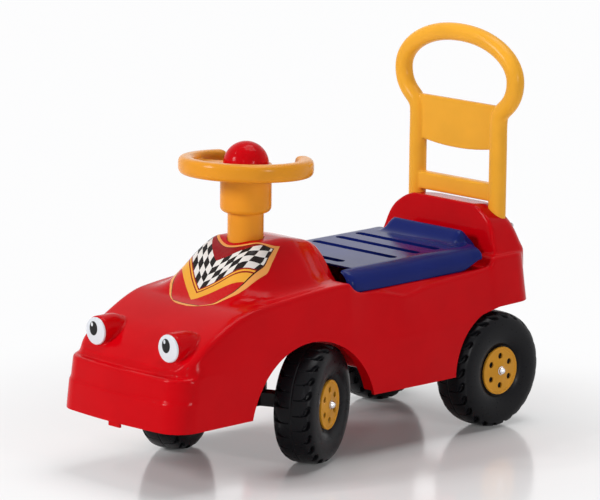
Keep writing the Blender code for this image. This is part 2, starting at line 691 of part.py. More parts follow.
def eyes():
    for side, word in ((1, "left"), (-1, "right")):
        profile = [(0, EYE_Y + 0.0024), (EYE_RADIUS, EYE_Y + 0.0024), (EYE_RADIUS, EYE_Y + 0.0008),
                   (EYE_RADIUS - 0.0015, EYE_Y), (0, EYE_Y)]
        disc = turned(f"eye_{word}", profile, "white", segments=ROUND, axis="Y")
        disc.location = (side * EYE_X, 0, EYE_Z)
        oval = [(0.0068 * math.cos(a), 0.0088 * math.sin(a)) for a in np.linspace(0, 2 * math.pi, 21)[:-1]]
        pupil = prism(f"pupil_{word}", oval, -0.0003, 0.0003, "Y", "black")
        pupil.location = (side * EYE_X - 0.0028, EYE_Y - 0.0006, EYE_Z + 0.0032)


def handle_route():
    """Middle line of the handle tube in its own plane, as (x, z) pairs from foot to foot."""
    half = [(HANDLE_LEG_X, z) for z in (HANDLE_FOOT_Z, 0.300, 0.350, 0.385)]
    half += [(HANDLE_LEG_X + 0.0035, HANDLE_NECK_Z + 0.004), (0.0885, 0.412), (0.0962, 0.4255)]
    for turn in range(0, 90, 15):
        a = math.radians(turn)
        half.append((HANDLE_LOOP_X * math.cos(a) ** 0.96,
                     HANDLE_LOOP_Z + (HANDLE_TOP_Z - HANDLE_LOOP_Z) * math.sin(a) ** 1.02))
    half.append((0.0, HANDLE_TOP_Z))
    return half + [(-x, z) for x, z in half[-2::-1]]


def swept(name, route, section, colour, frame_y=0.0, sharp=35):
    """A tube of the given section points swept along a flat route of (x, z) pairs."""
    rings = []
    for i, (x, z) in enumerate(route):
        before, after = route[max(i - 1, 0)], route[min(i + 1, len(route) - 1)]
        along = Vector((after[0] - before[0], 0, after[1] - before[1])).normalized()
        out = Vector((along.z, 0, -along.x))
        rings.append([Vector((x, frame_y, z)) + out * u + Vector((0, 1, 0)) * v for u, v in section])
    return make(name, *loft(rings), colour, sharp=sharp)


def push_handle():
    section = arc((0, 0), HANDLE_TUBE, 0, 360, 12)[:-1]
    handle = swept("push_handle", handle_route(), section, "yellow", HANDLE_Y, 40)
    lower = [(x, 0.3445 + 0.005 * (x / 0.06) ** 2) for x in np.linspace(-0.066, 0.066, 9)]
    outline = lower + [(0.066, 0.4075), (-0.066, 0.4075)]
    panel = prism("panel", outline, HANDLE_Y - 0.0045, HANDLE_Y + 0.0045, "Y")
    join(handle, soften(panel, 0.0012, 1, 60))
    bar = block("bar", (-0.066, HANDLE_Y - 0.0075, 0.2825), (0.066, HANDLE_Y + 0.0075, 0.3055),
                round_by=0.003)
    join(handle, bar)
    for side in (-1, 1):
        cut(handle, rod("screw_hole", 0.0023, HANDLE_Y - 0.002, 0.33, segments=10, axis="Y",
                        at=(side * HANDLE_LEG_X, 0, HANDLE_SCREW_Z)))
    dress(handle, "yellow", 40)
    return handle


def seat_section(y):
    """Upper line of the lid across the car at y, as (x, z) pairs from the middle to the skirt foot."""
    lip = LIP_HEIGHT * math.exp(-((y - LIP_TOP_Y) / 0.0125) ** 2)
    back = min(max((y - SEAT_FLANGE_BACK) / SEAT_CORNER + 1, 0.0), 1.0)
    front = min(max((SEAT_FRONT + 0.010 - y) / 0.010, 0.0), 1.0)
    half = SEAT_HALF_WIDTH
    half -= (SEAT_HALF_WIDTH - LIP_HALF_WIDTH) * (1 - (1 - back**4) ** 0.25)
    half -= 0.008 * (1 - math.sqrt(1 - front**2))
    foot = SEAT_RECESS_Z + GAP + SEAT_FOOT_RISE * ease((y - 0.190) / 0.038)
    flat = half - SEAT_SHOULDER
    drop = min(SEAT_SHOULDER_DROP, SEAT_DECK_Z - foot - 0.002)

    def raised(x, z):
        return x, z + lip * ease((LIP_HALF_WIDTH - 0.005 - x) / 0.009)

    points = [raised(flat * share, SEAT_DECK_Z) for share in (0.0, 0.6)]
    for out, up in arc((0, 0), 1, 90, 0, 5):
        points.append(raised(flat + SEAT_SHOULDER * out, SEAT_DECK_Z - drop * (1 - up)))
    points.append((half, foot))
    return points


def seat_lid():
    stations = [SEAT_FRONT, SEAT_FRONT + 0.0025, SEAT_FRONT + 0.010, 0.06, 0.19, 0.208, 0.2170,
                0.2245, 0.2290, 0.2303, SEAT_FLANGE_BACK, 0.2350, 0.2400, SEAT_BACK]
    rings = []
    for y in stations:
        upper = seat_section(y)
        lower = []
        for i, (x, z) in enumerate(upper):
            before, after = upper[max(i - 1, 0)], upper[min(i + 1, len(upper) - 1)]
            along = Vector((after[0] - before[0], after[1] - before[1])).normalized()
            lower.append((x + along.y * SEAT_SHELL, z - along.x * SEAT_SHELL))
        lower[0] = (0.0, upper[0][1] - SEAT_SHELL)
        lower[-1] = (upper[-1][0] - SEAT_SHELL, upper[-1][1])
        outline = upper[1:] + lower[::-1] + [(-x, z) for x, z in lower[1:]]
        outline += [(-x, z) for x, z in upper[::-1]]
        rings.append([(x, y, z) for x, z in outline])
    lid = make("seat_lid", *loft(rings), "blue")
    for y in SEAT_GROOVES_Y:
        rib = slot_form("rib", 0.073 + GROOVE_WALL, y, GROOVE_HALF + GROOVE_WALL, SEAT_DECK_Z - 0.0065,
                        SEAT_DECK_Z - 0.0010)
        join(lid, rib)
        cut(lid, slot_form("groove", 0.073, y, GROOVE_HALF, SEAT_DECK_Z - 0.0045, SEAT_DECK_Z + 0.01))
    edge = SEAT_HALF_WIDTH - 0.0185
    cut(lid, block("front_opening", (-edge, SEAT_FRONT - 0.01, 0.2), (edge, SEAT_DECK_FRONT, 0.25)))
    for side in (-1, 1):
        cut(lid, block("ear_notch", (side * HINGE_X - 0.0045, HINGE_Y - 0.0038, HINGE_Z - 0.02),
                       (side * HINGE_X + 0.0045, SEAT_BACK + 0.01, HINGE_Z + 0.02)))
        for rib_edge in (-1, 1):
            x = side * HINGE_X + rib_edge * 0.0058
            join(lid, block("hinge_rib", (x - 0.0012, HINGE_Y - 0.0045, HINGE_Z - 0.0030),
                            (x + 0.0012, HINGE_Y + 0.0030, HINGE_Z + 0.0068)))
        low, high = side * HINGE_X - 0.0080, side * HINGE_X + 0.0080
        cut(lid, rod("pin_hole", HINGE_PIN + GAP, low, high, segments=12, axis="X", at=(0, HINGE_Y, HINGE_Z)))
    dress(lid, "blue")
    lid.data.transform(Matrix.Translation((0, -HINGE_Y, -HINGE_Z)))
    lid.location = (0, HINGE_Y, HINGE_Z)
    return lid


def slot_form(name, half_length, y, half_width, low, high):
    outline = arc((half_length - half_width, y), half_width, -90, 90, 3)
    outline += arc((-half_length + half_width, y), half_width, 90, 270, 3)
    return prism(name, outline, low, high, "Z")


def seat_hinge_pins():
    for side, word in ((1, "left"), (-1, "right")):
        low, high = side * HINGE_X - 0.0079, side * HINGE_X + 0.0079
        pin = rod(f"seat_hinge_pin_{word}", HINGE_PIN, low, high, "steel", segments=12, axis="X")
        pin.location = (0, HINGE_Y, HINGE_Z)


def empty(name, location, parent=None, turn=0.0):
    made = bpy.data.objects.new(name, None)
    bpy.context.collection.objects.link(made)
    made.location = location
    made.rotation_euler = (0, 0, turn)
    made.parent = parent
    return made


def rim_ring():
    """The open steering ring, tilted, with rounded ends either side of the rider's gap."""
    start = math.pi / 2 + RIM_GAP_HALF
    sweep = 2 * math.pi - 2 * RIM_GAP_HALF
    steps = 18
    cap = RIM_WIDTH / 2 / RIM_RADIUS
    stops = [(-cap, 0.05), (-cap * 0.86, 0.52), (-cap * 0.5, 0.87)]
    stops += [(sweep * k / steps, 1.0) for k in range(steps + 1)]
    stops += [(sweep + cap * 0.5, 0.87), (sweep + cap * 0.86, 0.52), (sweep + cap, 0.05)]
    middle_z = RIM_TOP_Z - RIM_HEIGHT / 2
    rings = []
    for turn, size in stops:
        a = start + turn
        out = Vector((math.cos(a), math.sin(a), 0))
        ring = []
        for k in range(10):
            b = 2 * math.pi * k / 10 + math.pi / 10
            c, s = math.cos(b), math.sin(b)
            u = math.copysign(abs(c) ** (2 / 3), c) * RIM_WIDTH / 2 * size
            v = math.copysign(abs(s) ** (2 / 3), s) * RIM_HEIGHT / 2 * (0.3 + 0.7 * size)
            spot = out * (RIM_RADIUS + u)
            ring.append((spot.x, spot.y, middle_z + v - spot.y * math.tan(RIM_TILT)))
        rings.append(ring)
    return make("steering_wheel", *loft(rings), "orange", sharp=45)


def steering_wheel(parent):
    wheel = rim_ring()
    for side in (-1, 1):
        low, high = sorted((side * (BOSS_RADIUS - 0.002), side * (RIM_RADIUS - 0.002)))
        spoke = block("spoke", (low, -0.0135, BOSS_TOP - 0.0125), (high, 0.0135, BOSS_TOP - 0.0005),
                      round_by=0.003)
        join(wheel, spoke)
    profile = [(0, BOSS_BOTTOM), (BOSS_RADIUS - 0.007, BOSS_BOTTOM),
               (BOSS_RADIUS - 0.002, BOSS_BOTTOM + 0.002), (BOSS_RADIUS, BOSS_BOTTOM + 0.007),
               (BOSS_RADIUS, BOSS_TOP), (0, BOSS_TOP)]
    join(wheel, turned("boss", profile, segments=ROUND))
    cut(wheel, rod("horn_bore", HORN_RADIUS + GAP, BOSS_FLOOR, BOSS_TOP + 0.02, segments=ROUND))
    cut(wheel, rod("column_socket", COLUMN_RADIUS + GAP, BOSS_BOTTOM - 0.01, BOSS_FLOOR - WALL,
                   segments=ROUND))
    dress(wheel, "orange", 45)
    wheel.parent = parent
    return wheel


def horn(parent):
    profile = [(0, HORN_BASE_Z + HORN_RADIUS)]
    profile += [(r, HORN_BASE_Z + h) for r, h in arc((0, 0), HORN_RADIUS, 72, 0, 4)]
    inner = HORN_RADIUS - 0.002
    plug_foot = HORN_BASE_Z - 0.020
    profile += [(HORN_RADIUS, HORN_BASE_Z - 0.014), (inner, HORN_BASE_Z - 0.014)]
    profile += [(r, HORN_BASE_Z + h) for r, h in arc((0, 0), inner, 0, 54, 2)]
    profile += [(0.0105, HORN_BASE_Z + math.sqrt(inner**2 - 0.0105**2)), (0.0105, plug_foot), (0, plug_foot)]
    turned("horn_button", profile[::-1], "red", parent, ROUND, sharp=40)

    coil_low, coil_high, turns, steps = BOSS_FLOOR + 0.0012, plug_foot - 0.0012, 4, 6
    rings = []
    for k in range(turns * steps + 1):
        a = 2 * math.pi * k / steps
        z = coil_low + (coil_high - coil_low) * k / (turns * steps)
        out = Vector((math.cos(a), math.sin(a), 0))
        rings.append([out * (0.0088 + 0.0007 * math.cos(b)) + Vector((0, 0, z + 0.0007 * math.sin(b)))
                      for b in np.linspace(0, 2 * math.pi, 5)[:-1]])
    make("horn_spring", *loft(rings), "steel", parent, 80)
    rod("squeaker", 0.0065, BOSS_FLOOR + GAP, BOSS_FLOOR + 0.016, "white", parent, 16)


def steering_column(parent):
    tube = rod("steering_column", COLUMN_RADIUS, BEAM_HUB_TOP + GAP, BOSS_FLOOR - WALL - GAP, "orange",
               segments=ROUND, bore=COLUMN_RADIUS - COLUMN_WALL)
    cut(tube, rod("pin_way", PIN_RADIUS + GAP, -0.03, 0.03, segments=10, axis="X", at=(0, 0, PIN_Z)))
    dress(tube, "orange")
    tube.parent = parent
    rod("column_pin", PIN_RADIUS, -0.0222, 0.0222, "steel", parent, 10, "X", (0, 0, PIN_Z))
    profile = [(COLUMN_RADIUS + GAP, BEAM_HUB_TOP + GAP), (TOWER_RADIUS - GAP, BEAM_HUB_TOP + GAP),
               (TOWER_RADIUS - GAP, TOWER_BOTTOM - GAP), (COLUMN_RADIUS + GAP, TOWER_BOTTOM - GAP)]
    turned("thrust_washer", profile, "black", parent, ROUND)


def column_bushes():
    for word, low in (("lower", TOWER_BOTTOM), ("upper", BUSH_UPPER_Z)):
        bush = rod(f"column_bush_{word}", TOWER_BORE - GAP, low, low + BUSH_HEIGHT, "black", segments=ROUND,
                   bore=COLUMN_RADIUS + GAP)
        bush.location = (0, PIVOT_Y, 0)


def front_axle_beam(parent):
    beam = block("front_axle_beam", (-FRONT_BEAM_HALF, -0.010, 0.0670), (FRONT_BEAM_HALF, 0.010, 0.0840))
    join(beam, rod("hub", TOWER_RADIUS - 0.0012, 0.0672, BEAM_HUB_TOP, segments=ROUND))
    join(beam, rod("post", COLUMN_RADIUS - COLUMN_WALL - GAP, 0.11, 0.152, segments=ROUND))
    cut(beam, rod("bore", AXLE_RADIUS + GAP, -0.1, 0.1, segments=16, axis="X", at=(0, 0, WHEEL_RADIUS)))
    cut(beam, rod("pin_hole", PIN_RADIUS + GAP, -0.03, 0.03, segments=10, axis="X", at=(0, 0, PIN_Z)))
    dress(beam, "black")
    beam.parent = parent


def tyre(name, parent, side):
    """Hollow tyre round its own X axis, open at the bore, with lugs on the tread."""
    columns, mid, few = LUGS * 2, LUGS, LUGS // 2
    half, wall = TYRE_WIDTH / 2, TYRE_WALL
    bead = HUB_RADIUS + 0.0005
    bore = SLEEVE_RADIUS + GAP

    def ring(t, radius, count, groove=0.0, shift=0):
        points = []
        for k in range(count):
            a = 2 * math.pi * (k + shift) / count
            depth = groove if count == columns and k % 2 == 0 else 0.0
            points.append((side * t, -(radius - depth) * math.sin(a), -(radius - depth) * math.cos(a)))
        return points

    recess = HUB_FACE - HUB_PLATE - GAP
    rings = [ring(-half + 0.0065, bore, few), ring(-half + 0.0065, bead, few),
             ring(-half, 0.052, mid), ring(-half + 0.0035, 0.0690, columns, 0.0022, 1),
             ring(-half + 0.0115, WHEEL_RADIUS, columns, 0.0042, 1),
             ring(half - 0.0115, WHEEL_RADIUS, columns, 0.0042, 1),
             ring(half - 0.0035, 0.0690, columns, 0.0022, 1),
             ring(half, 0.052, mid), ring(half - 0.003, 0.0345, mid), ring(recess, bead, mid),
             ring(recess, bore, few), ring(recess - wall, bore, few),
             ring(recess - wall, bead + wall, few), ring(half - 0.0065, 0.0600, few),
             ring(-half + 0.0065, 0.0600, few), ring(-half + 0.0065 + wall, bead + wall, few),
             ring(-half + 0.0065 + wall, bore, few)]
    return make(name, *stitched(rings), "black", parent, 40)


def wheel(word, mid, parent):
    """Tyre, hub, cap and spacer on a wheel axis whose middle plane lies mid away from the car's."""
    side = 1 if mid > 0 else -1
    tyre(f"tyre_{word}", parent, side)
    face = HUB_FACE
    sleeve_in = -TYRE_WIDTH / 2 + 0.0045
    profile = [(AXLE_RADIUS + GAP, side * sleeve_in), (SLEEVE_RADIUS, side * sleeve_in),
               (SLEEVE_RADIUS, side * (face - HUB_PLATE)), (HUB_RADIUS, side * (face - HUB_PLATE)),
               (HUB_RADIUS, side * face), (AXLE_RADIUS + GAP, side * face)]
    hub = turned(f"hub_{word}", profile, "hub_yellow", segments=16, axis="X")
    for k in range(HUB_HOLES):
        a = 2 * math.pi * (k + 0.5) / HUB_HOLES
        at = (0, HUB_RADIUS * 0.62 * math.cos(a), HUB_RADIUS * 0.62 * math.sin(a))
        low, high = sorted((side * (face - 0.008), side * (face + 0.005)))
        cut(hub, rod("hub_hole", 0.0026, low, high, segments=6, axis="X", at=at))
    dress(hub, "hub_yellow")
    hub.parent = parent
    cap = face + GAP
    profile = [(0, side * (cap + 0.0062)), (0.0030, side * (cap + 0.0055)), (0.0048, side * (cap + 0.0036)),
               (0.0056, side * (cap + 0.0010)), (0.0056, side * cap), (AXLE_RADIUS + GAP, side * cap),
               (AXLE_RADIUS + GAP, side * (cap + 0.0030)), (0, side * (cap + 0.0030))]
    turned(f"axle_cap_{word}", profile, "steel", parent, 12, "X")
    beam_half = FRONT_BEAM_HALF if "front" in word else REAR_BEAM_HALF
    inner_end = beam_half + GAP - abs(mid)
    profile = [(AXLE_RADIUS + GAP, side * inner_end), (0.0085, side * inner_end),
               (0.0085, side * (sleeve_in - GAP)), (AXLE_RADIUS + GAP, side * (sleeve_in - GAP))]
    turned(f"wheel_spacer_{word}", profile, "white", parent, 12, "X")


def axle(name, mid, parent, location=(0, 0, 0)):
    end = mid + HUB_FACE + 0.0030
    item = rod(name, AXLE_RADIUS, -end, end, "steel", parent, 16, "X")
    item.location = location
    return item


def main():
    clear_scene()
    body_shell()
    eyes()
    rear_axle_beam()
    rear_beam_screws()
    push_handle()
    handle_screws()
    seat_lid()
    seat_hinge_pins()
    column_bushes()
    axle("rear_axle", TRACK_REAR / 2, None, (0, REAR_AXLE_Y, WHEEL_RADIUS))
    for side, word in ((1, "left"), (-1, "right")):
        spot = (side * TRACK_REAR / 2, REAR_AXLE_Y, WHEEL_RADIUS)
        wheel(f"rear_{word}", side * TRACK_REAR / 2, empty(f"rear_{word}_axis", spot))

    steering = empty("steering_axis", (0, PIVOT_Y, 0), None, STEER_ANGLE)
    steering_wheel(steering)
    horn(steering)
    steering_column(steering)
    front_axle_beam(steering)
    axle("front_axle", TRACK_FRONT / 2, steering, (0, 0, WHEEL_RADIUS))
    for side, word in ((1, "left"), (-1, "right")):
        spot = (side * TRACK_FRONT / 2, 0, WHEEL_RADIUS)
        wheel(f"front_{word}", side * TRACK_FRONT / 2, empty(f"front_{word}_axis", spot, steering))


main()
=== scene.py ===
"""Looks of a small child's push-along ride-on car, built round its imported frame.

Units are metres, +Z is up, the nose points along -Y and the car's left side is +X.
"""
import functools
import json
import math

import bmesh
import bpy
import numpy as np
from mathutils import Matrix, Vector
from mathutils.bvhtree import BVHTree


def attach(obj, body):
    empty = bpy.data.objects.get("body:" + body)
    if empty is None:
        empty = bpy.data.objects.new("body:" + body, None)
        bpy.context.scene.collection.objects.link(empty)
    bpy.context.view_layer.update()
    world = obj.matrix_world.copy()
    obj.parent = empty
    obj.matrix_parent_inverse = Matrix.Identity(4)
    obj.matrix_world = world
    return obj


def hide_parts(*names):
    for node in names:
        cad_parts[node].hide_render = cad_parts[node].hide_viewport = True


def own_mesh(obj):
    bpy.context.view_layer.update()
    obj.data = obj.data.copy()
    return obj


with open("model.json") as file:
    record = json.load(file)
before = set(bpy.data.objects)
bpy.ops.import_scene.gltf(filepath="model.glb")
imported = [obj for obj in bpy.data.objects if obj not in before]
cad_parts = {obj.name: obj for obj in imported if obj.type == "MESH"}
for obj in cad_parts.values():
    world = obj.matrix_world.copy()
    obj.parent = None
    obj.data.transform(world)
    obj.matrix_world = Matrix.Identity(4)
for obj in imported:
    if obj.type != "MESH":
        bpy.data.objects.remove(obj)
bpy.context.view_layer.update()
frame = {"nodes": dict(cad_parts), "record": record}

# Layout, as in the part's source
LENGTH = 0.6344
NOSE_Y = -LENGTH / 2
WHEEL_RADIUS = 0.075
REAR_AXLE_Y = LENGTH / 2 - WHEEL_RADIUS
PIVOT_Y = REAR_AXLE_Y - 0.3385
STEER_ANGLE = math.radians(23.8)
TRACK_FRONT = 0.182
TRACK_REAR = 0.1966
GAP = 0.0003

# Body moulding
WALL = 0.003
BODY_BOTTOM = 0.0785
BODY_TAIL_Y = 0.3165
TAIL_BOTTOM = 0.159
NOSE_CORNER = 0.034
TAIL_CORNER = 0.03
NOSE_BOW = 0.004
NOSE_DRAFT = 0.007
BUMPER_STEP_LOW = 0.0023
STEP_LOW_Z = 0.115
STEP_HIGH_Z = 0.1435
BUMPER_ROUND = 0.0035
HOOD_FRONT_Z = 0.1465
HOOD_FRONT_Y = -0.295
HOOD_CORNER = 0.026
SEAT_RECESS_Z = 0.2077
SEAT_RECESS_X = 0.1005
SEAT_RECESS_FRONT = -0.013
SEAT_RECESS_BACK = 0.232
LIP_RECESS_X = 0.0775
TAIL_LEDGE_Z = 0.222
FRONT_ARCH_RADIUS = 0.1054
FRONT_ARCH_Z = 0.0545
FRONT_ARCH_Y = PIVOT_Y + 0.011
REAR_ARCH_RADIUS = 0.081
ARCH_LIP_DEPTH = 0.014
COLUMN_RADIUS = 0.0225
COLUMN_WALL = 0.004
TOWER_BORE = COLUMN_RADIUS + 0.0037
TOWER_RADIUS = TOWER_BORE + WALL
BUSH_UPPER_Z = 0.252
BUSH_HEIGHT = 0.01
COLUMN_HOLE = COLUMN_RADIUS + 0.0008
TOWER_BOTTOM = 0.125
WELL_X = 0.09
WELL_FRONT = 0.0105
WELL_FRONT_FLOOR = 0.045
WELL_BACK = 0.157
WELL_FLOOR = 0.1
WELL_SLOPE_TOP = 0.195
WELL_WALL = 0.0025
BACKREST_FRONT = 0.249
SKIN_KEPT = 0.0015
SCREW_BOSS_RADIUS = 0.006
EAR_RADIUS = 0.0032
BEAM_TOP = 0.157
BEAM_SCREW_X = 0.047
BEAM_SCREW_Y = 0.0175
HANDLE_SCREW_Z = 0.248

# Push handle
HANDLE_Y = 0.2852
HANDLE_TUBE = 0.0115
HANDLE_LEG_X = 0.071
HANDLE_NECK_Z = 0.394
HANDLE_LOOP_X = 0.0985
HANDLE_LOOP_Z = 0.441
HANDLE_TOP_Z = 0.4955
HANDLE_FOOT_Z = 0.232
PANEL_HALF_WIDTH = 0.066
PANEL_HALF = 0.0045
PANEL_LOW_Z = 0.3445
PANEL_TOP_Z = 0.4075
BAR_HALF = 0.0075
BAR_LOW_Z = 0.2825
BAR_TOP_Z = 0.3055

# Eyes
EYE_X = 0.065
EYE_Y = -0.2872
EYE_Z = 0.1755
EYE_RADIUS = 0.0171
EYE_ROUND = 0.0016
EYE_BACK = 0.0024
PUPIL_AT = (-0.0028, 0.0032)
STALK_RADIUS = 0.0186
STALK_DOME_Y = -0.262
STALK_DOME = 0.026

# Steering wheel and horn
RIM_RADIUS = 0.074
RIM_WIDTH = 0.02
RIM_HEIGHT = 0.0225
RIM_TOP_Z = 0.3775
RIM_TILT = math.radians(3.0)
RIM_GAP_HALF = math.radians(49)
BOSS_RADIUS = 0.032
BOSS_ROUND = 0.007
SPOKE_HALF = 0.0135
BOSS_BOTTOM = 0.309
BOSS_TOP = 0.369
BOSS_FLOOR = 0.322
HORN_RADIUS = 0.0285
HORN_BASE_Z = BOSS_TOP - GAP
HORN_WALL = 0.002
HORN_SKIRT = 0.014
PLUG_RADIUS = 0.0105
PLUG_LENGTH = 0.02
SPRING_RADIUS = 0.0088
SPRING_WIRE = 0.0007
SPRING_TURNS = 4
SPRING_CLEAR = 0.0012
PIN_RADIUS = 0.0022
PIN_Z = 0.138
BEAM_HUB_TOP = 0.1215

# Seat lid
SEAT_HALF_WIDTH = 0.0995
SEAT_FRONT = -0.0105
SEAT_FRONT_ROUND = 0.01
SEAT_BACK = 0.2455
SEAT_FLANGE_BACK = 0.231
SEAT_DECK_FRONT = 0.0095
SEAT_DECK_Z = 0.2355
SEAT_SHELL = 0.0025
SEAT_SHOULDER = 0.021
SEAT_SHOULDER_DROP = 0.019
SEAT_CORNER = 0.005
SEAT_FOOT_RISE = 0.011
SEAT_END_Z = 0.2283
SEAT_END_ROUND = 0.005
SEAT_GROOVES_Y = (0.0958, 0.1383, 0.1746)
GROOVE_HALF = 0.0065
GROOVE_WALL = 0.002
FRONT_GROOVE_Y = 0.03
FRONT_GROOVE_X = 0.046
GROOVE_X = 0.073
GROOVE_DEPTH = 0.0045
LIP_HEIGHT = 0.0155
LIP_SPREAD = 0.0125
LIP_TOP_Y = 0.23
LIP_HALF_WIDTH = 0.0735
HINGE_Y = 0.238
HINGE_Z = 0.2375
HINGE_X = 0.045
HINGE_PIN = 0.0015
HINGE_RIB_X = 0.0058

# Wheels
TYRE_WIDTH = 0.054
LUGS = 24
STEPS_PER_LUG = 26
GROOVE_WALL_SLOPE = 2.4
SEAM_HALF = 0.0008
SEAM_DEPTH = 0.0006
HUB_RADIUS = 0.031
HUB_FACE = 0.024
HUB_PLATE = 0.003
HUB_HOLES = 6
HUB_HOLE_RADIUS = 0.004
HUB_HOLE_CIRCLE = HUB_RADIUS * 0.62
SLEEVE_RADIUS = 0.0085
AXLE_RADIUS = 0.004
CAP_RADIUS = 0.0056
CAP_FOOT = 0.0012
CAP_DOME = 0.005
CAP_DEPTH = 0.003

# Camera at the photograph's viewing angle
CAMERA_AT = (3.4603, -3.4339, 1.2426)
CAMERA_TURN = math.radians(45.23)
CAMERA_RISE = math.radians(11.54)
CAMERA_ROLL = math.radians(0.59)
CAMERA_LENS = 238.14


def add_object(name, data):
    item = bpy.data.objects.new(name, data)
    bpy.context.collection.objects.link(item)
    return item


def make_camera():
    data = bpy.data.cameras.new("camera")
    data.lens = CAMERA_LENS
    data.sensor_width = 36
    data.clip_end = 100
    right = Vector((math.cos(CAMERA_TURN), math.sin(CAMERA_TURN), 0))
    back = Vector((math.sin(CAMERA_TURN) * math.cos(CAMERA_RISE),
                   -math.cos(CAMERA_TURN) * math.cos(CAMERA_RISE), math.sin(CAMERA_RISE)))
    turn = Matrix((right, back.cross(right), back)).transposed() @ Matrix.Rotation(CAMERA_ROLL, 3, "Z")
    camera = add_object("camera", data)
    camera.matrix_world = Matrix.Translation(CAMERA_AT) @ turn.to_4x4()
    bpy.context.scene.camera = camera


# Mesh helpers
WELD = 0.000005
SHARP_ANGLE = math.radians(38)


@functools.cache
def curve_through(points):
    """Places, heights and slopes at the points of a curve that never overshoots between them."""
    x, y = np.array(points).T
    slope = np.diff(y) / np.diff(x)
    tangent = np.zeros(len(x))
    tangent[0], tangent[-1] = slope[0], slope[-1]
    for i, (before, after) in enumerate(zip(slope, slope[1:]), 1):
        if before * after > 0:
            tangent[i] = 2 * before * after / (before + after)
    return x, y, tangent


def smooth_curve(points, t):
    """Height at t of the curve through points."""
    x, y, tangent = curve_through(points)
    t = np.clip(t, x[0], x[-1])
    i = int(np.clip(np.searchsorted(x, t) - 1, 0, len(x) - 2))
    span = x[i + 1] - x[i]
    u = (t - x[i]) / span
    return float(y[i] * (2 * u**3 - 3 * u**2 + 1) + y[i + 1] * (3 * u**2 - 2 * u**3)
                 + span * (tangent[i] * (u**3 - 2 * u**2 + u) + tangent[i + 1] * (u**3 - u**2)))


def unit(t):
    """t held between 0 and 1."""
    return min(max(t, 0.0), 1.0)


def ease(t):
    t = unit(t)
    return t * t * (3 - 2 * t)


def arc(centre, radius, start, end, steps):
    turns = [math.radians(start + (end - start) * k / steps) for k in range(steps + 1)]
    return [(centre[0] + radius * math.cos(t), centre[1] + radius * math.sin(t)) for t in turns]


def run_along(points):
    """Distance along a line at each of its points."""
    return np.concatenate([[0], np.cumsum(np.linalg.norm(np.diff(points, axis=0), axis=1))])


def make(name, points, faces, weld=True):
    """One closed mesh object with its faces pointing out."""
    mesh = bpy.data.meshes.new(name)
    mesh.from_pydata([tuple(p) for p in points], [], [tuple(int(v) for v in f) for f in faces])
    shape = bmesh.new()
    shape.from_mesh(mesh)
    if weld:
        bmesh.ops.remove_doubles(shape, verts=shape.verts, dist=WELD)
        bmesh.ops.dissolve_degenerate(shape, edges=shape.edges, dist=WELD)
    bmesh.ops.recalc_face_normals(shape, faces=shape.faces)
    shape.to_mesh(mesh)
    shape.free()
    return add_object(name, mesh)


def modify(item, kind, **settings):
    step = item.modifiers.new(kind.lower(), kind)
    for name, value in settings.items():
        setattr(step, name, value)


def settle(item):
    """Replaces an object's mesh by what its modifiers show."""
    bpy.context.view_layer.update()
    seen = item.evaluated_get(bpy.context.evaluated_depsgraph_get())
    old = item.data
    result = bpy.data.meshes.new_from_object(seen)
    item.modifiers.clear()
    item.data = result
    bpy.data.meshes.remove(old)
    return item


def combine(item, tool, operation):
    modify(item, "BOOLEAN", operation=operation, solver="MANIFOLD", object=tool)
    settle(item)
    bpy.data.objects.remove(tool, do_unlink=True)
    return item


def join(item, tool):
    return combine(item, tool, "UNION")


def cut(item, tool):
    return combine(item, tool, "DIFFERENCE")


def keep_inside(item, tool):
    return combine(item, tool, "INTERSECT")


def melt(item, size, steps):
    """Runs the joined forms into each other as one moulding with rounded edges and fillets."""
    modify(item, "REMESH", mode="VOXEL", voxel_size=size)
    modify(item, "SMOOTH", factor=0.5, iterations=steps)
    return settle(item)


def soften(item, width, steps=3, angle=50):
    modify(item, "BEVEL", width=width, segments=steps, limit_method="ANGLE", angle_limit=math.radians(angle))
    return settle(item)


def loft(rings, closed=False):
    """Points and faces of a skin over rings of equal counts, capped at both ends unless closed."""
    count = len(rings[0])
    points = [p for ring in rings for p in ring]
    faces = []
    pairs = len(rings) if closed else len(rings) - 1
    for i in range(pairs):
        a, b = i * count, (i + 1) % len(rings) * count
        for k in range(count):
            n = (k + 1) % count
            faces.append((a + k, a + n, b + n, b + k))
    if not closed:
        faces.append(tuple(range(count))[::-1])
        faces.append(tuple(range((len(rings) - 1) * count, len(rings) * count)))
    return points, faces


def place(radius, height, angle, axis):
    u, v = radius * math.cos(angle), radius * math.sin(angle)
    return {"Z": (u, v, height), "X": (height, u, v), "Y": (u, height, v)}[axis]


def turned(name, profile, segments=64, axis="Z"):
    """A solid turned from a closed outline of (radius, height) pairs."""
    angles = [2 * math.pi * k / segments for k in range(segments)]
    rings = [[place(r, h, a, axis) for a in angles] for r, h in profile]
    on_axis = profile[0][0] == 0 and profile[-1][0] == 0
    if not on_axis:
        return make(name, *loft(rings, closed=True))
    points, faces = loft(rings)
    return make(name, points, faces[:-2])


def rod(name, radius, start, end, segments=48, axis="Z", at=(0, 0, 0), bore=0):
    item = turned(name, [(bore, start), (radius, start), (radius, end), (bore, end)], segments, axis)
    return into_place(item, Matrix.Translation(at))


def block(name, low, high, round_by=0.0, steps=4):
    corners = [(x, y, z) for z in (low[2], high[2]) for x, y in
               ((low[0], low[1]), (high[0], low[1]), (high[0], high[1]), (low[0], high[1]))]
    faces = [(3, 2, 1, 0), (4, 5, 6, 7), (0, 1, 5, 4), (1, 2, 6, 5), (2, 3, 7, 6), (3, 0, 4, 7)]
    item = make(name, corners, faces)
    return soften(item, round_by, steps) if round_by else item


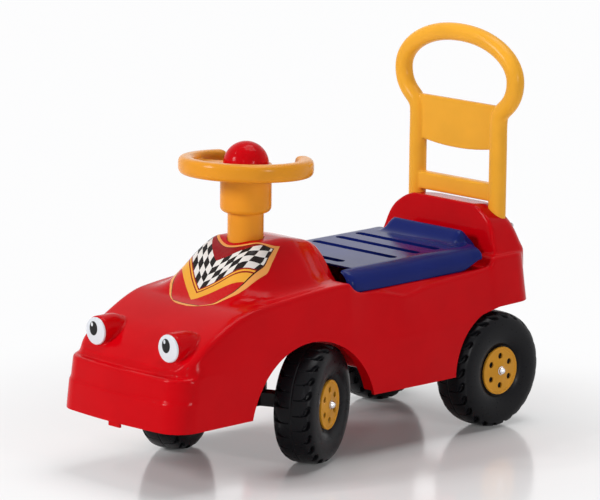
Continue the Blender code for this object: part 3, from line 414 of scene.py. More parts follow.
def prism(name, outline, low, high, axis="X"):
    """An outline of (u, v) pairs drawn out along an axis."""
    order = {"X": (2, 0, 1), "Y": (0, 2, 1), "Z": (0, 1, 2)}[axis]
    return make(name, *loft([[[(u, v, w)[k] for k in order] for u, v in outline] for w in (low, high)]))


def drill(item, radius, start, end, segments=48, axis="Z", at=(0, 0, 0)):
    """Cuts a round hole along an axis."""
    return cut(item, rod("drill", radius, start, end, segments, axis, at))


def into_place(item, matrix):
    item.data.transform(matrix)
    return item


# Body form: the top is a height over the plan, and the wall follows the plan outline
HOOD_LINE = ((HOOD_FRONT_Y, HOOD_FRONT_Z), (-0.2935, 0.15), (-0.287, 0.1568), (-0.274, 0.1685),
             (-0.244, 0.188), (-0.19, 0.21), (-0.178, 0.2122), (-0.116, 0.218), (-0.0455, 0.2228),
             (-0.016, 0.2236))
PEDESTAL_LINE = ((-0.186, 0.211), (-0.178, 0.218), (-0.128, 0.268), (-0.106, 0.2768), (-0.07, 0.277),
                 (-0.03, 0.27), (-0.013, 0.2645), (-0.003, 0.2565), (0.002, 0.247), (0.005, 0.23),
                 (0.007, SEAT_RECESS_Z))
EDGE_LINE = ((-0.016, 0.2234), (-0.0087, 0.2175), (0.0145, 0.2072), (0.04, 0.2009), (0.057, 0.1945),
             (0.077, 0.1902), (0.095, 0.1925), (0.135, 0.199), (0.17, 0.205), (0.235, 0.215),
             (0.26, 0.222), (BODY_TAIL_Y, 0.2222))
TOP_WIDTH = ((NOSE_Y, 0.1), (-0.184, 0.101), (-0.0455, 0.102), (-0.012, 0.1038), (0.018, 0.1048),
             (0.057, 0.1085), (0.077, 0.1112), (0.125, 0.1105), (0.17, 0.1095), (0.26, 0.108),
             (BODY_TAIL_Y, 0.1075))
BOTTOM_WIDTH = ((NOSE_Y, 0.1095), (-0.184, 0.1108), (0.018, 0.1153), (0.09, 0.1185), (0.12, 0.1195),
                (BODY_TAIL_Y, 0.1195))
EDGE_ROUND = ((NOSE_Y, 0.012), (-0.184, 0.008), (-0.03, 0.004), (-0.012, 0.0026), (0.018, 0.0036),
              (0.09, 0.004), (0.125, 0.0075), (0.23, 0.006), (0.27, 0.004), (BODY_TAIL_Y, 0.004))
PEDESTAL_FOOT = 0.092
PEDESTAL_NARROWS = 0.015
PEDESTAL_FLAT = 0.35
NARROWS_FROM_Y = -0.06
NARROWS_OVER = 0.04
NOSE_SIDE_SAG = 0.004
SAG_FROM_Y = -0.184
SAG_OVER = 0.1
SEAT_STEP = 0.005
LIP_STEP = 0.004
LEDGE_OVER = 0.01
SIDE_BOW = 1.7
TAIL_LEAN = 0.008
TAIL_LEAN_FROM_Z = 0.15
TAIL_LEAN_OVER = 0.07
WALL_MIDDLE_Z = 0.18
WALL_TOP_Z = 0.205
END_BLEND = 0.035
FRONT_POINTS = 14
CORNER_STEPS = 12
STATION_STEP = 0.0045
STATION_CLEAR = 0.0015


def roof(x, y):
    """Height of the outer top surface."""
    across = abs(x)
    base = smooth_curve(HOOD_LINE, y)
    if y < SAG_FROM_Y:
        base -= NOSE_SIDE_SAG * (across / 0.1) ** 4 * ease((SAG_FROM_Y - y) / SAG_OVER)
    foot = PEDESTAL_FOOT - PEDESTAL_NARROWS * ease((y - NARROWS_FROM_Y) / NARROWS_OVER)
    bell = math.cos(math.pi / 2 * unit((across / foot - PEDESTAL_FLAT) / (1 - PEDESTAL_FLAT))) ** 2
    edge, width = smooth_curve(EDGE_LINE, y), smooth_curve(TOP_WIDTH, y)
    outward = (across - SEAT_RECESS_X) / max(width - SEAT_RECESS_X, 0.001)
    seat = SEAT_RECESS_Z + (edge - SEAT_RECESS_Z) * unit(outward)
    shoulder = ease((across - LIP_RECESS_X) / LIP_STEP)
    back = shoulder * ease((y - SEAT_RECESS_BACK) / LEDGE_OVER)
    back += (1 - shoulder) * ease((y - HANDLE_Y - 0.005) / LEDGE_OVER)
    seat += (TAIL_LEDGE_Z - seat) * back
    base += (seat - base) * ease((y - SEAT_RECESS_FRONT + SEAT_STEP) / SEAT_STEP)
    if y < PEDESTAL_LINE[0][0]:
        return base
    return base + max(smooth_curve(PEDESTAL_LINE, y) - base, 0.0) * bell


def inner_roof(x, y, inset):
    around = ((0, 0), (inset, 0), (-inset, 0), (0, inset), (0, -inset))
    return min(roof(x + dx, y + dy) for dx, dy in around) - inset


def half_outline(nose_y, tail_y, width_at, nose_corner, stations, across):
    """Plan points of the left side, from the middle of the nose to the middle of the tail."""
    front_half = width_at(nose_y + nose_corner) - nose_corner
    back_half = width_at(tail_y - TAIL_CORNER) - TAIL_CORNER
    points = [(front_half * s, nose_y + NOSE_BOW * s * s) for s in across]
    centre = (front_half, nose_y + NOSE_BOW + nose_corner)
    points += arc(centre, nose_corner, -90, 0, CORNER_STEPS)[1:]
    points += [(width_at(y), y) for y in stations]
    points += arc((back_half, tail_y - TAIL_CORNER), TAIL_CORNER, 0, 90, CORNER_STEPS)
    return points + [(back_half * s, tail_y) for s in across[::-1][1:]]


def top_cover(points, count, tail_index, top_of):
    """Adds a grid of points over the last ring, and returns the faces that close the form with it.

    The grid's four edges are runs of that ring, which has count points. Its rows follow the stations, and
    its columns bend to the edges of the seat's recess.
    """
    corner = FRONT_POINTS - 1 + CORNER_STEPS // 2
    seat_columns = [SEAT_RECESS_X, LIP_RECESS_X + LIP_STEP, *np.linspace(LIP_RECESS_X, 0, corner - 2)]
    start = len(points) - count
    last_corner = tail_index - corner
    rows, columns = last_corner - corner, 2 * corner
    grid = {}
    for i in range(rows + 1):
        grid[i, columns] = start + corner + i
        grid[i, 0] = start + (count - corner - i) % count
    for j in range(columns + 1):
        grid[0, j] = start + (j - corner) % count
        grid[rows, j] = start + (last_corner + columns - j) % count
    left, right, far_left = points[grid[0, 0]], points[grid[0, columns]], points[grid[rows, 0]]
    nose_row, tail_row = right[1], points[grid[rows, columns]][1]
    for i in range(1, rows):
        for j in range(1, columns):
            west, east = np.array(points[grid[i, 0]][:2]), np.array(points[grid[i, columns]][:2])
            north, south = points[grid[0, j]], points[grid[rows, j]]
            x, y = west + (east - west) * (north[0] - left[0]) / (right[0] - left[0])
            seat_x = math.copysign(min(seat_columns[min(j, columns - j) - 1], east[0] - 0.0004), x)
            if y > SEAT_RECESS_FRONT - 0.006:
                x = seat_x
            else:
                x += (seat_x - x) * ease((y - NARROWS_FROM_Y) / NARROWS_OVER)
            y += (north[1] - left[1]) * max(1 - (east[1] - nose_row) / END_BLEND, 0)
            y += (south[1] - far_left[1]) * max(1 - (tail_row - east[1]) / END_BLEND, 0)
            grid[i, j] = len(points)
            points.append((float(x), float(y), top_of(float(x), float(y))))
    return [(grid[i, j], grid[i, j + 1], grid[i + 1, j + 1], grid[i + 1, j])
            for i in range(rows) for j in range(columns)]


def tub(name, inset=0.0, floor=BODY_BOTTOM):
    """The closed outer form of the body, or the same form made smaller by inset."""
    exact = [-0.244, -0.188, -0.17, -0.128, -0.107, -0.056, SEAT_RECESS_FRONT - SEAT_STEP,
             SEAT_RECESS_FRONT, 0.007, 0.092, 0.2, SEAT_RECESS_BACK, SEAT_RECESS_BACK + LEDGE_OVER]
    between = [y for y in np.arange(-0.256, 0.282, STATION_STEP)
               if min(abs(y - e) for e in exact) > STATION_CLEAR]
    stations = sorted(exact + between)
    if inset:
        levels = [floor, STEP_HIGH_Z - inset - 0.001, STEP_HIGH_Z - inset]
    else:
        levels = [floor, BODY_BOTTOM, 0.09, 0.102, STEP_LOW_Z - 0.0022, STEP_LOW_Z - 0.0008]
        levels += [STEP_LOW_Z, 0.129]
        levels += [STEP_HIGH_Z - BUMPER_ROUND * part for part in (1.0, 0.7, 0.45, 0.25, 0.1, 0.0)]
        levels.append(STEP_HIGH_Z + 0.0001)
    across = [k / (FRONT_POINTS - 1) for k in range(FRONT_POINTS)]
    set_back = HOOD_FRONT_Y - NOSE_Y - NOSE_DRAFT

    def depth_at(height):
        if height > STEP_HIGH_Z or inset and height >= STEP_HIGH_Z - inset:
            return set_back
        step = BUMPER_STEP_LOW if height >= STEP_LOW_Z else 0.0
        rise = unit(1 - (STEP_HIGH_Z - height) / BUMPER_ROUND)
        return step + (0.0 if inset else BUMPER_ROUND * (1 - math.sqrt(1 - rise**2)))

    def ring(height, depth, rounding):
        drafted = NOSE_DRAFT * max(height - BODY_BOTTOM, 0) / (STEP_HIGH_Z - BODY_BOTTOM)
        nose = NOSE_Y + min(drafted, NOSE_DRAFT) + depth + inset

        def width_at(y):
            low, top = smooth_curve(BOTTOM_WIDTH, y), smooth_curve(TOP_WIDTH, y)
            rise = (height - BODY_BOTTOM) / (smooth_curve(EDGE_LINE, max(y, EDGE_LINE[0][0])) - BODY_BOTTOM)
            bowed = unit(rise) ** SIDE_BOW
            return low + (top - low) * bowed - inset - rounding * smooth_curve(EDGE_ROUND, y)

        tail = BODY_TAIL_Y - inset - TAIL_LEAN * unit((height - TAIL_LEAN_FROM_Z) / TAIL_LEAN_OVER)
        tail -= rounding * smooth_curve(EDGE_ROUND, BODY_TAIL_Y)
        bend = (HOOD_CORNER if depth == set_back else NOSE_CORNER) - inset / 2
        return half_outline(nose, tail, width_at, bend, stations, across)

    def top_of(x, y):
        return inner_roof(x, y, inset) if inset else roof(x, y)

    rings = [[(x, y, z) for x, y in ring(z, depth_at(z), 0.0)] for z in levels]
    low_ring = rings[-1]
    rim, wall_top = ring(WALL_TOP_Z, set_back, 1.0), ring(WALL_TOP_Z, set_back, 0.0)
    rim_round = [smooth_curve(EDGE_ROUND, y) * ease((k - FRONT_POINTS + 1) / CORNER_STEPS)
                 for k, (x, y) in enumerate(rim)]
    rim_top = [top_of(x, y) for x, y in rim]
    straight = [(x, y, z - r) for (x, y), z, r in zip(wall_top, rim_top, rim_round)]
    middle = [(x, y, (low[2] + high[2]) / 2)
              for (x, y), low, high in zip(ring(WALL_MIDDLE_Z, set_back, 0.0), low_ring, straight)]
    for t in ((0.5,) if inset else (0.15, 0.3, 0.5, 0.65, 0.85)):
        a, b, c = 2 * (t - 0.5) * (t - 1), 4 * t * (1 - t), 2 * t * (t - 0.5)
        rings.append([tuple(a * p + b * q + c * r for p, q, r in zip(*three))
                      for three in zip(low_ring, middle, straight)])
    rings.append(straight)
    for turned_by in ((45,) if inset else (15, 30, 45, 60, 75)):
        lean, rise = 1 - math.cos(math.radians(turned_by)), math.sin(math.radians(turned_by))
        rings.append([(a[0] + (b[0] - a[0]) * lean, a[1] + (b[1] - a[1]) * lean, h - r + r * rise)
                      for a, b, h, r in zip(wall_top, rim, rim_top, rim_round)])
    rings.append([(x, y, h) for (x, y), h in zip(rim, rim_top)])

    whole = [half + [(-x, y, z) for x, y, z in half[-2:0:-1]] for half in rings]
    points, faces = loft(whole)
    faces.pop()
    faces += top_cover(points, len(whole[0]), len(rings[0]) - 1, top_of)
    return make(name, points, faces)


def backrest(name, inset=0.0, low=0.2, fine=False):
    """The upper block behind the seat, leaning in on every side, as a loft of level rings."""
    shape = ((low, 0.1035), (0.222, 0.1025), (0.232, 0.099), (0.25, 0.0928), (0.262, 0.0855),
             (0.271, 0.075), (0.277, 0.065), (0.281, 0.054))
    heights = [z for z, half in shape]
    if fine:
        heights = sorted(set(heights) | set(np.arange(0.224, 0.281, 0.0025)))
    rings = []
    for z in heights:
        if inset and z > 0.278:
            continue
        lean = (max(z, 0.222) - 0.222) / 0.059
        front = BACKREST_FRONT + 0.008 * lean + inset
        back = 0.3135 - 0.0155 * lean - inset
        side = smooth_curve(shape, z) - inset
        outline = []
        for cx, cy, start, r in ((side, back, 0, 0.018), (-side, back, 90, 0.018),
                                 (-side, front, 180, 0.004), (side, front, 270, 0.004)):
            centre = (cx - math.copysign(r, cx), cy + (r if start >= 180 else -r))
            outline += arc(centre, r, start, start + 90, 8)
        height = z - (inset if z > 0.26 else 0)
        rings.append([(x, y, height - 0.1 * lean * (y - front)) for x, y in outline])
    return make(name, *loft(rings))


def arch_cutter():
    far = 0.2
    front = prism("front_arch", arc((FRONT_ARCH_Y, FRONT_ARCH_Z), FRONT_ARCH_RADIUS, -12, 192, 96), -far, far)
    outline = arc((REAR_AXLE_Y, WHEEL_RADIUS + GAP), REAR_ARCH_RADIUS, 188, 110, 40)
    outline += [(REAR_AXLE_Y + 0.004, TAIL_BOTTOM - 0.002), (0.4, TAIL_BOTTOM + 0.001), (0.4, 0.04)]
    outline += [(REAR_AXLE_Y - 0.0815, 0.04)]
    return join(front, prism("rear_arch", outline, -far, far))


def arch_lip():
    """The flange that turns inwards along the upper and rear part of each front arch."""
    centre = (FRONT_ARCH_Y, FRONT_ARCH_Z)
    outer = arc(centre, FRONT_ARCH_RADIUS + 0.0025, 16, 92, 36)
    lip = prism("arch_lip", outer + arc(centre, FRONT_ARCH_RADIUS, 92, 16, 36), -0.13, 0.13)
    keep_inside(lip, tub("lip_limit", 0.0012, 0.07))
    middle = 0.1125 - ARCH_LIP_DEPTH
    return cut(lip, block("lip_middle", (-middle, -0.3, 0), (middle, 0.3, 0.3)))


def well_form(name, grow=0.0, top=0.26):
    front, back, floor = WELL_FRONT - grow, WELL_BACK + grow, WELL_FLOOR - grow
    outline = [(front, top), (front, WELL_SLOPE_TOP), (WELL_FRONT_FLOOR - grow, floor)]
    outline += [(back, floor), (back, top)]
    return soften(prism(name, outline[::-1], -WELL_X - grow, WELL_X + grow), 0.006 + grow, 4, 30)


def outer_body():
    """The outside of the moulding, with its fillets, before it is hollowed."""
    solid = tub("body_moulding", 0.0, BODY_BOTTOM - 0.012)
    join(solid, backrest("block_outer", fine=True))
    profile = [(0, EYE_Y + 0.0027), (STALK_RADIUS, EYE_Y + 0.0027), (STALK_RADIUS, STALK_DOME_Y)]
    profile += [(STALK_RADIUS * math.cos(a), STALK_DOME_Y + STALK_DOME * math.sin(a))
                for a in np.linspace(0, math.pi / 2, 13)[1:-1]] + [(0, STALK_DOME_Y + STALK_DOME)]
    for side in (-1, 1):
        stalk = turned("stalk", profile, axis="Y")
        join(solid, into_place(stalk, Matrix.Translation((side * EYE_X, 0, EYE_Z))))
    return melt(solid, 0.0016, 6)


def inner_parts():
    """Well, steering tower, handle sockets and screw bosses, held just inside the outer skin."""
    tower = rod("tower", TOWER_RADIUS, TOWER_BOTTOM, 0.3, at=(0, PIVOT_Y, 0))
    parts = join(well_form("well_outer", WELL_WALL), tower)
    keep_inside(parts, tub("limit", SKIN_KEPT, 0.05))
    for side in (-1, 1):
        socket = rod("socket", HANDLE_TUBE + WALL, HANDLE_FOOT_Z - WALL, 0.29,
                     at=(side * HANDLE_LEG_X, HANDLE_Y, 0))
        join(parts, keep_inside(socket, backrest("socket_limit", SKIN_KEPT, 0.19)))
        x = side * BEAM_SCREW_X
        join(parts, rod("front_boss", SCREW_BOSS_RADIUS, BEAM_TOP + GAP, 0.2062, 24,
                        at=(x, REAR_AXLE_Y - BEAM_SCREW_Y, 0)))
        rear_boss = rod("rear_boss", SCREW_BOSS_RADIUS, BEAM_TOP + GAP, 0.29, 24,
                        at=(x, REAR_AXLE_Y + BEAM_SCREW_Y, 0))
        join(parts, keep_inside(rear_boss, backrest("boss_limit", SKIN_KEPT, 0.15)))
    return parts


def body_moulding():
    shell = outer_body()
    cut(shell, block("below", (-0.2, -0.4, 0.0), (0.2, 0.4, BODY_BOTTOM)))
    cut(shell, tub("inside", WALL, BODY_BOTTOM - 0.03))
    cut(shell, arch_cutter())
    join(shell, arch_lip())
    cut(shell, backrest("block_inner", WALL, 0.19))
    for x in (-EYE_X, EYE_X):
        drill(shell, STALK_RADIUS - WALL, EYE_Y + 0.0057, STALK_DOME_Y + WALL, axis="Y", at=(x, 0, EYE_Z))
        cut(shell, block("stalk_opening", (x - 0.008, STALK_DOME_Y - 0.01, EYE_Z - STALK_RADIUS - WALL),
                         (x + 0.008, STALK_DOME_Y, EYE_Z - 0.01)))
    join(shell, inner_parts())
    cut(shell, well_form("well"))
    shoulder = BUSH_UPPER_Z + BUSH_HEIGHT + GAP
    drill(shell, TOWER_BORE, 0.1, shoulder, at=(0, PIVOT_Y, 0))
    drill(shell, COLUMN_HOLE, shoulder - 0.001, 0.31, 96, at=(0, PIVOT_Y, 0))
    ear_back = BACKREST_FRONT + 0.0035
    ear = arc((HINGE_Y, HINGE_Z), EAR_RADIUS, 90, 250, 12)
    ear += [(ear_back, HINGE_Z - 0.008), (ear_back, HINGE_Z + EAR_RADIUS)]
    for side in (-1, 1):
        leg, hinge = side * HANDLE_LEG_X, side * HINGE_X
        drill(shell, HANDLE_TUBE + 2 * GAP, HANDLE_FOOT_Z - GAP, 0.31, at=(leg, HANDLE_Y, 0))
        drill(shell, 0.0024, HANDLE_Y, 0.33, 24, "Y", (leg, 0, HANDLE_SCREW_Z))
        for offset in (-BEAM_SCREW_Y, BEAM_SCREW_Y):
            drill(shell, 0.0021, 0.15, 0.1735, 16, at=(side * BEAM_SCREW_X, REAR_AXLE_Y + offset, 0))
        join(shell, prism("ear", ear, hinge - 0.003, hinge + 0.003))
        drill(shell, HINGE_PIN + GAP, hinge - 0.01, hinge + 0.01, 24, "X", (0, HINGE_Y, HINGE_Z))
    tab_y = NOSE_Y + 0.004
    return join(shell, block("tab", (-0.01, tab_y - 0.0015, BODY_BOTTOM - 0.006),
                             (0.01, tab_y + 0.0015, BODY_BOTTOM + 0.004)))


# Push handle
def handle_route():
    """Middle line of the handle tube in its own plane, as (x, z) pairs from foot to foot."""
    half = [(HANDLE_LEG_X, HANDLE_FOOT_Z), (HANDLE_LEG_X, 0.3), (HANDLE_LEG_X, 0.35), (HANDLE_LEG_X, 0.385),
            (HANDLE_LEG_X + 0.0035, HANDLE_NECK_Z + 0.004), (0.0885, 0.412), (0.0962, 0.4255)]
    for turn in range(0, 90, 15):
        a = math.radians(turn)
        half.append((HANDLE_LOOP_X * math.cos(a) ** 0.96,
                     HANDLE_LOOP_Z + (HANDLE_TOP_Z - HANDLE_LOOP_Z) * math.sin(a) ** 1.02))
    half.append((0.0, HANDLE_TOP_Z))
    return half + [(-x, z) for x, z in half[-2::-1]]


def resampled(route, step):
    """A smooth curve through the route's points, at even steps."""
    p = np.array([route[0], *route, route[-1]], float)
    found = []
    for i in range(1, len(p) - 2):
        for t in np.linspace(0, 1, 24, endpoint=False):
            found.append(0.5 * (2 * p[i] + (p[i + 1] - p[i - 1]) * t
                                + (2 * p[i - 1] - 5 * p[i] + 4 * p[i + 1] - p[i + 2]) * t**2
                                + (3 * p[i] - p[i - 1] - 3 * p[i + 1] + p[i + 2]) * t**3))
    found.append(p[-1])
    found = np.array(found)
    run = run_along(found)
    even = np.linspace(0, run[-1], int(run[-1] / step) + 1)
    return np.stack([np.interp(even, run, found[:, k]) for k in range(found.shape[1])], axis=1)


def push_handle():
    route = resampled(handle_route(), 0.004)
    rings = []
    for i, (x, z) in enumerate(route):
        before, after = route[max(i - 1, 0)], route[min(i + 1, len(route) - 1)]
        along = Vector((after[0] - before[0], 0, after[1] - before[1])).normalized()
        middle, out = Vector((x, HANDLE_Y, z)), Vector((along.z, 0, -along.x))
        rings.append([middle + (out * math.cos(a) + Vector((0, math.sin(a), 0))) * HANDLE_TUBE
                      for a in np.linspace(0, 2 * math.pi, 41)[:-1]])
    handle = make("handle_moulding", *loft(rings))
    half = PANEL_HALF_WIDTH
    outline = [(x, PANEL_LOW_Z + 0.005 * (x / 0.06) ** 2) for x in np.linspace(-half, half, 25)]
    outline += [(half, PANEL_TOP_Z), (-half, PANEL_TOP_Z)]
    panel = prism("panel", outline, HANDLE_Y - PANEL_HALF, HANDLE_Y + PANEL_HALF, "Y")
    join(handle, soften(panel, 0.0012, 3, 60))
    low, high = (-half, HANDLE_Y - BAR_HALF, BAR_LOW_Z), (half, HANDLE_Y + BAR_HALF, BAR_TOP_Z)
    join(handle, block("bar", low, high, 0.003))
    melt(handle, 0.0011, 5)
    for side in (-1, 1):
        drill(handle, 0.0023, HANDLE_Y - 0.002, 0.33, 24, "Y", (side * HANDLE_LEG_X, 0, HANDLE_SCREW_Z))
    return handle


# Seat lid
def seat_section(y):
    """Upper line of the lid across the car at y, as (x, z) pairs from the middle to the skirt foot."""
    lip = LIP_HEIGHT * math.exp(-((y - LIP_TOP_Y) / LIP_SPREAD) ** 2)
    back = unit((y - SEAT_FLANGE_BACK) / SEAT_CORNER + 1)
    front = unit((SEAT_FRONT + SEAT_FRONT_ROUND - y) / SEAT_FRONT_ROUND)
    half = SEAT_HALF_WIDTH
    half -= (SEAT_HALF_WIDTH - LIP_HALF_WIDTH) * (1 - (1 - back**4) ** 0.25)
    half -= 0.008 * (1 - math.sqrt(1 - front**2))
    foot = SEAT_RECESS_Z + GAP + SEAT_FOOT_RISE * ease((y - 0.19) / 0.038)
    closing = 1 - math.sqrt(1 - unit((y - SEAT_FLANGE_BACK) / SEAT_END_ROUND + 1) ** 2)
    foot += (SEAT_END_Z - 0.0015 - foot) * closing
    flat = half - SEAT_SHOULDER
    drop = min(SEAT_SHOULDER_DROP, SEAT_DECK_Z - foot - 0.002)

    def raised(x, z):
        lowered = (SEAT_DECK_Z - SEAT_END_Z) * 0.8 * closing * ease((x - 0.064) / 0.014)
        return x, max(z + lip * ease((LIP_HALF_WIDTH - 0.005 - x) / 0.009) - lowered, foot + 0.001)

    points = [raised(flat * part, SEAT_DECK_Z) for part in np.linspace(0, 1, 15)[:-1]]
    for out, up in arc((0, 0), 1, 90, 0, 14):
        points.append(raised(flat + SEAT_SHOULDER * out, SEAT_DECK_Z - drop * (1 - up)))
    points += [(half, (points[-1][1] + foot) / 2), (half, foot)]
    return points


def slot_form(name, half_length, y, half_width, low, high):
    outline = arc((half_length - half_width, y), half_width, -90, 90, 12)
    outline += arc((-half_length + half_width, y), half_width, 90, 270, 12)
    return prism(name, outline, low, high, "Z")


def lid_form(name, inset, stations, drop=0.0):
    """The lid's closed outer form, or the hollow below it when inset."""
    rings = []
    for y in stations:
        upper = seat_section(y)
        outline = []
        for i, (x, z) in enumerate(upper):
            before, after = upper[max(i - 1, 0)], upper[min(i + 1, len(upper) - 1)]
            along = Vector((after[0] - before[0], after[1] - before[1])).normalized()
            outline.append((x + along.y * inset, z - along.x * inset))
        outline[0] = (0.0, upper[0][1] - inset)
        outline[-1] = (upper[-1][0] - inset, upper[-1][1] - drop)
        rings.append([(x, y, z) for x, z in outline] + [(-x, y, z) for x, z in outline[:0:-1]])
    return make(name, *loft(rings))


def seat_lid():
    runs = ((SEAT_FRONT, SEAT_FRONT + 0.011, 0.001), (0.192, 0.217, 0.002), (0.217, 0.2255, 0.001),
            (0.226, SEAT_FLANGE_BACK + 0.0003, 0.0005), (0.232, SEAT_BACK, 0.0015))
    levels = [np.arange(*run) for run in runs] + [np.linspace(0.001, 0.19, 40), [SEAT_BACK]]
    stations = sorted(set(np.round(np.concatenate(levels), 5)))
    lid = melt(lid_form("seat_moulding", 0.0, stations), 0.001, 5)
    hollow = [stations[0] - 0.01, *stations[1:-1], stations[-1] + 0.01]
    cut(lid, lid_form("lid_hollow", SEAT_SHELL, hollow, 0.02))
    for y, half_length in ((FRONT_GROOVE_Y, FRONT_GROOVE_X), *((y, GROOVE_X) for y in SEAT_GROOVES_Y)):
        floor = SEAT_DECK_Z - GROOVE_DEPTH
        join(lid, slot_form("rib", half_length + GROOVE_WALL, y, GROOVE_HALF + GROOVE_WALL,
                            floor - GROOVE_WALL, SEAT_DECK_Z - 0.001))
        cut(lid, slot_form("groove", half_length, y, GROOVE_HALF, floor, SEAT_DECK_Z + 0.01))
    edge = SEAT_HALF_WIDTH - 0.0185
    cut(lid, block("front_opening", (-edge, SEAT_FRONT - 0.01, 0.2), (edge, SEAT_DECK_FRONT, 0.25)))
    for hinge in (-HINGE_X, HINGE_X):
        cut(lid, block("ear_notch", (hinge - 0.0045, HINGE_Y - 0.0038, HINGE_Z - 0.02),
                       (hinge + 0.0045, SEAT_BACK + 0.01, HINGE_Z + 0.02)))
        for x in (hinge - HINGE_RIB_X, hinge + HINGE_RIB_X):
            join(lid, block("hinge_rib", (x - 0.0012, HINGE_Y - 0.0045, HINGE_Z - 0.003),
                            (x + 0.0012, HINGE_Y + 0.003, HINGE_Z + 0.0068)))
        drill(lid, HINGE_PIN + GAP, hinge - 0.008, hinge + 0.008, 24, "X", (0, HINGE_Y, HINGE_Z))
    return lid


# Steering wheel, column and horn, made round the column's axis and then turned into place
STEERING = Matrix.Translation((0, PIVOT_Y, 0)) @ Matrix.Rotation(STEER_ANGLE, 4, "Z")


def rounded(value):
    """A cosine or sine drawn out towards a square with round corners."""
    return math.copysign(abs(value) ** (2 / 3), value)


def steering_wheel():
    start = math.pi / 2 + RIM_GAP_HALF
    sweep = 2 * math.pi - 2 * RIM_GAP_HALF
    steps, sides = 120, 28
    cap = RIM_WIDTH / 2 / RIM_RADIUS
    stops = [(-cap * math.cos(a), max(math.sin(a), 0.05)) for a in np.linspace(0, math.pi / 2, 9)[:-1]]
    stops += [(sweep * k / steps, 1.0) for k in range(steps + 1)]
    stops += [(sweep + cap * math.cos(a), max(math.sin(a), 0.05)) for a in np.linspace(math.pi / 2, 0, 9)[1:]]
    middle_z = RIM_TOP_Z - RIM_HEIGHT / 2
    rings = []
    for turn, size in stops:
        out = Vector((math.cos(start + turn), math.sin(start + turn), 0))
        ring = []
        for k in range(sides):
            b = 2 * math.pi * k / sides
            u = rounded(math.cos(b)) * RIM_WIDTH / 2 * size
            v = rounded(math.sin(b)) * RIM_HEIGHT / 2 * (0.3 + 0.7 * size)
            spot = out * (RIM_RADIUS + u)
            ring.append((spot.x, spot.y, middle_z + v - spot.y * math.tan(RIM_TILT)))
        rings.append(ring)
    wheel = make("steering_moulding", *loft(rings))
    for side in (-1, 1):
        left, right = sorted((side * (BOSS_RADIUS - 0.002), side * (RIM_RADIUS - 0.002)))
        corners = (left, -SPOKE_HALF, BOSS_TOP - 0.0125), (right, SPOKE_HALF, BOSS_TOP - 0.0005)
        join(wheel, block("spoke", *corners, 0.003))
    profile = [(0, BOSS_BOTTOM), (BOSS_RADIUS - BOSS_ROUND, BOSS_BOTTOM)]
    profile += arc((BOSS_RADIUS - BOSS_ROUND, BOSS_BOTTOM + BOSS_ROUND), BOSS_ROUND, -75, 0, 6)
    join(wheel, turned("boss", profile + [(BOSS_RADIUS, BOSS_TOP), (0, BOSS_TOP)], 96))
    melt(wheel, 0.0009, 4)
    drill(wheel, HORN_RADIUS + GAP, BOSS_FLOOR, BOSS_TOP + 0.02, 96)
    drill(wheel, COLUMN_RADIUS + GAP, BOSS_BOTTOM - 0.01, BOSS_FLOOR - WALL, 96)
    return into_place(wheel, STEERING)


def column_tube():
    tube = rod("column_tube", COLUMN_RADIUS, BEAM_HUB_TOP + GAP, BOSS_FLOOR - WALL - GAP, 96,
               bore=COLUMN_RADIUS - COLUMN_WALL)
    drill(tube, PIN_RADIUS + GAP, -0.03, 0.03, 24, "X", (0, 0, PIN_Z))
    return into_place(tube, STEERING)


def horn_dome():
    inner = HORN_RADIUS - HORN_WALL
    profile = [(0, HORN_RADIUS), *arc((0, 0), HORN_RADIUS, 87, 0, 30), (HORN_RADIUS, -HORN_SKIRT)]
    profile += [(inner, -HORN_SKIRT), *arc((0, 0), inner, 0, 64, 8)]
    profile += [(PLUG_RADIUS, math.sqrt(inner**2 - PLUG_RADIUS**2)), (PLUG_RADIUS, -PLUG_LENGTH)]
    profile.append((0, -PLUG_LENGTH))
    dome = turned("horn_dome", [(r, HORN_BASE_Z + h) for r, h in profile[::-1]], 96)
    return into_place(dome, STEERING)


def spring_coil():
    """The spring between the boss floor and the horn's plug, as one wire."""
    low, high = BOSS_FLOOR + SPRING_CLEAR, HORN_BASE_Z - PLUG_LENGTH - SPRING_CLEAR
    steps = SPRING_TURNS * 32
    rings = []
    for k in range(steps + 1):
        a = 2 * math.pi * SPRING_TURNS * k / steps
        out = Vector((math.cos(a), math.sin(a), 0))
        level = low + (high - low) * k / steps
        rings.append([out * (SPRING_RADIUS + SPRING_WIRE * u) + Vector((0, 0, level + SPRING_WIRE * v))
                      for u, v in arc((0, 0), 1, 0, 360, 10)[:-1]])
    return into_place(make("spring_coil", *loft(rings)), STEERING)


# Eyes
def eye_pieces(side, word):
    """The disc, pupil and glint of one eye, each with the node that it stands for."""
    profile = [(0, EYE_BACK), (EYE_RADIUS, EYE_BACK)]
    profile += arc((EYE_RADIUS - EYE_ROUND, EYE_ROUND), EYE_ROUND, 0, -90, 8)
    profile += [(EYE_RADIUS * 0.6, 0), (0, 0)]
    disc = turned(f"eye_disc_{word}", profile, 96, "Y")
    found = [(into_place(disc, Matrix.Translation((side * EYE_X, EYE_Y, EYE_Z))), "eye_" + word)]
    x, z = side * EYE_X + PUPIL_AT[0], EYE_Z + PUPIL_AT[1]
    for name, node, wide, tall, dx, dz, base, rise in (
            ("pupil", "pupil_" + word, 0.0068, 0.0088, 0, 0, 0, 0.0006),
            ("glint", None, 0.0017, 0.0026, -0.0021, 0.0048, 0.0006, 0.00025)):
        rings = []
        for part, height in ((1.0, 0.0), (1.0, 0.5), (0.97, 0.8), (0.9, 0.95), (0.6, 1.0)):
            rings.append([(x + dx + wide * part * math.cos(a), EYE_Y - base - rise * height,
                           z + dz + tall * part * math.sin(a)) for a in np.linspace(0, 2 * math.pi, 49)[:-1]])
        found.append((make(f"eye_{name}_{word}", *loft(rings)), node))
    return found


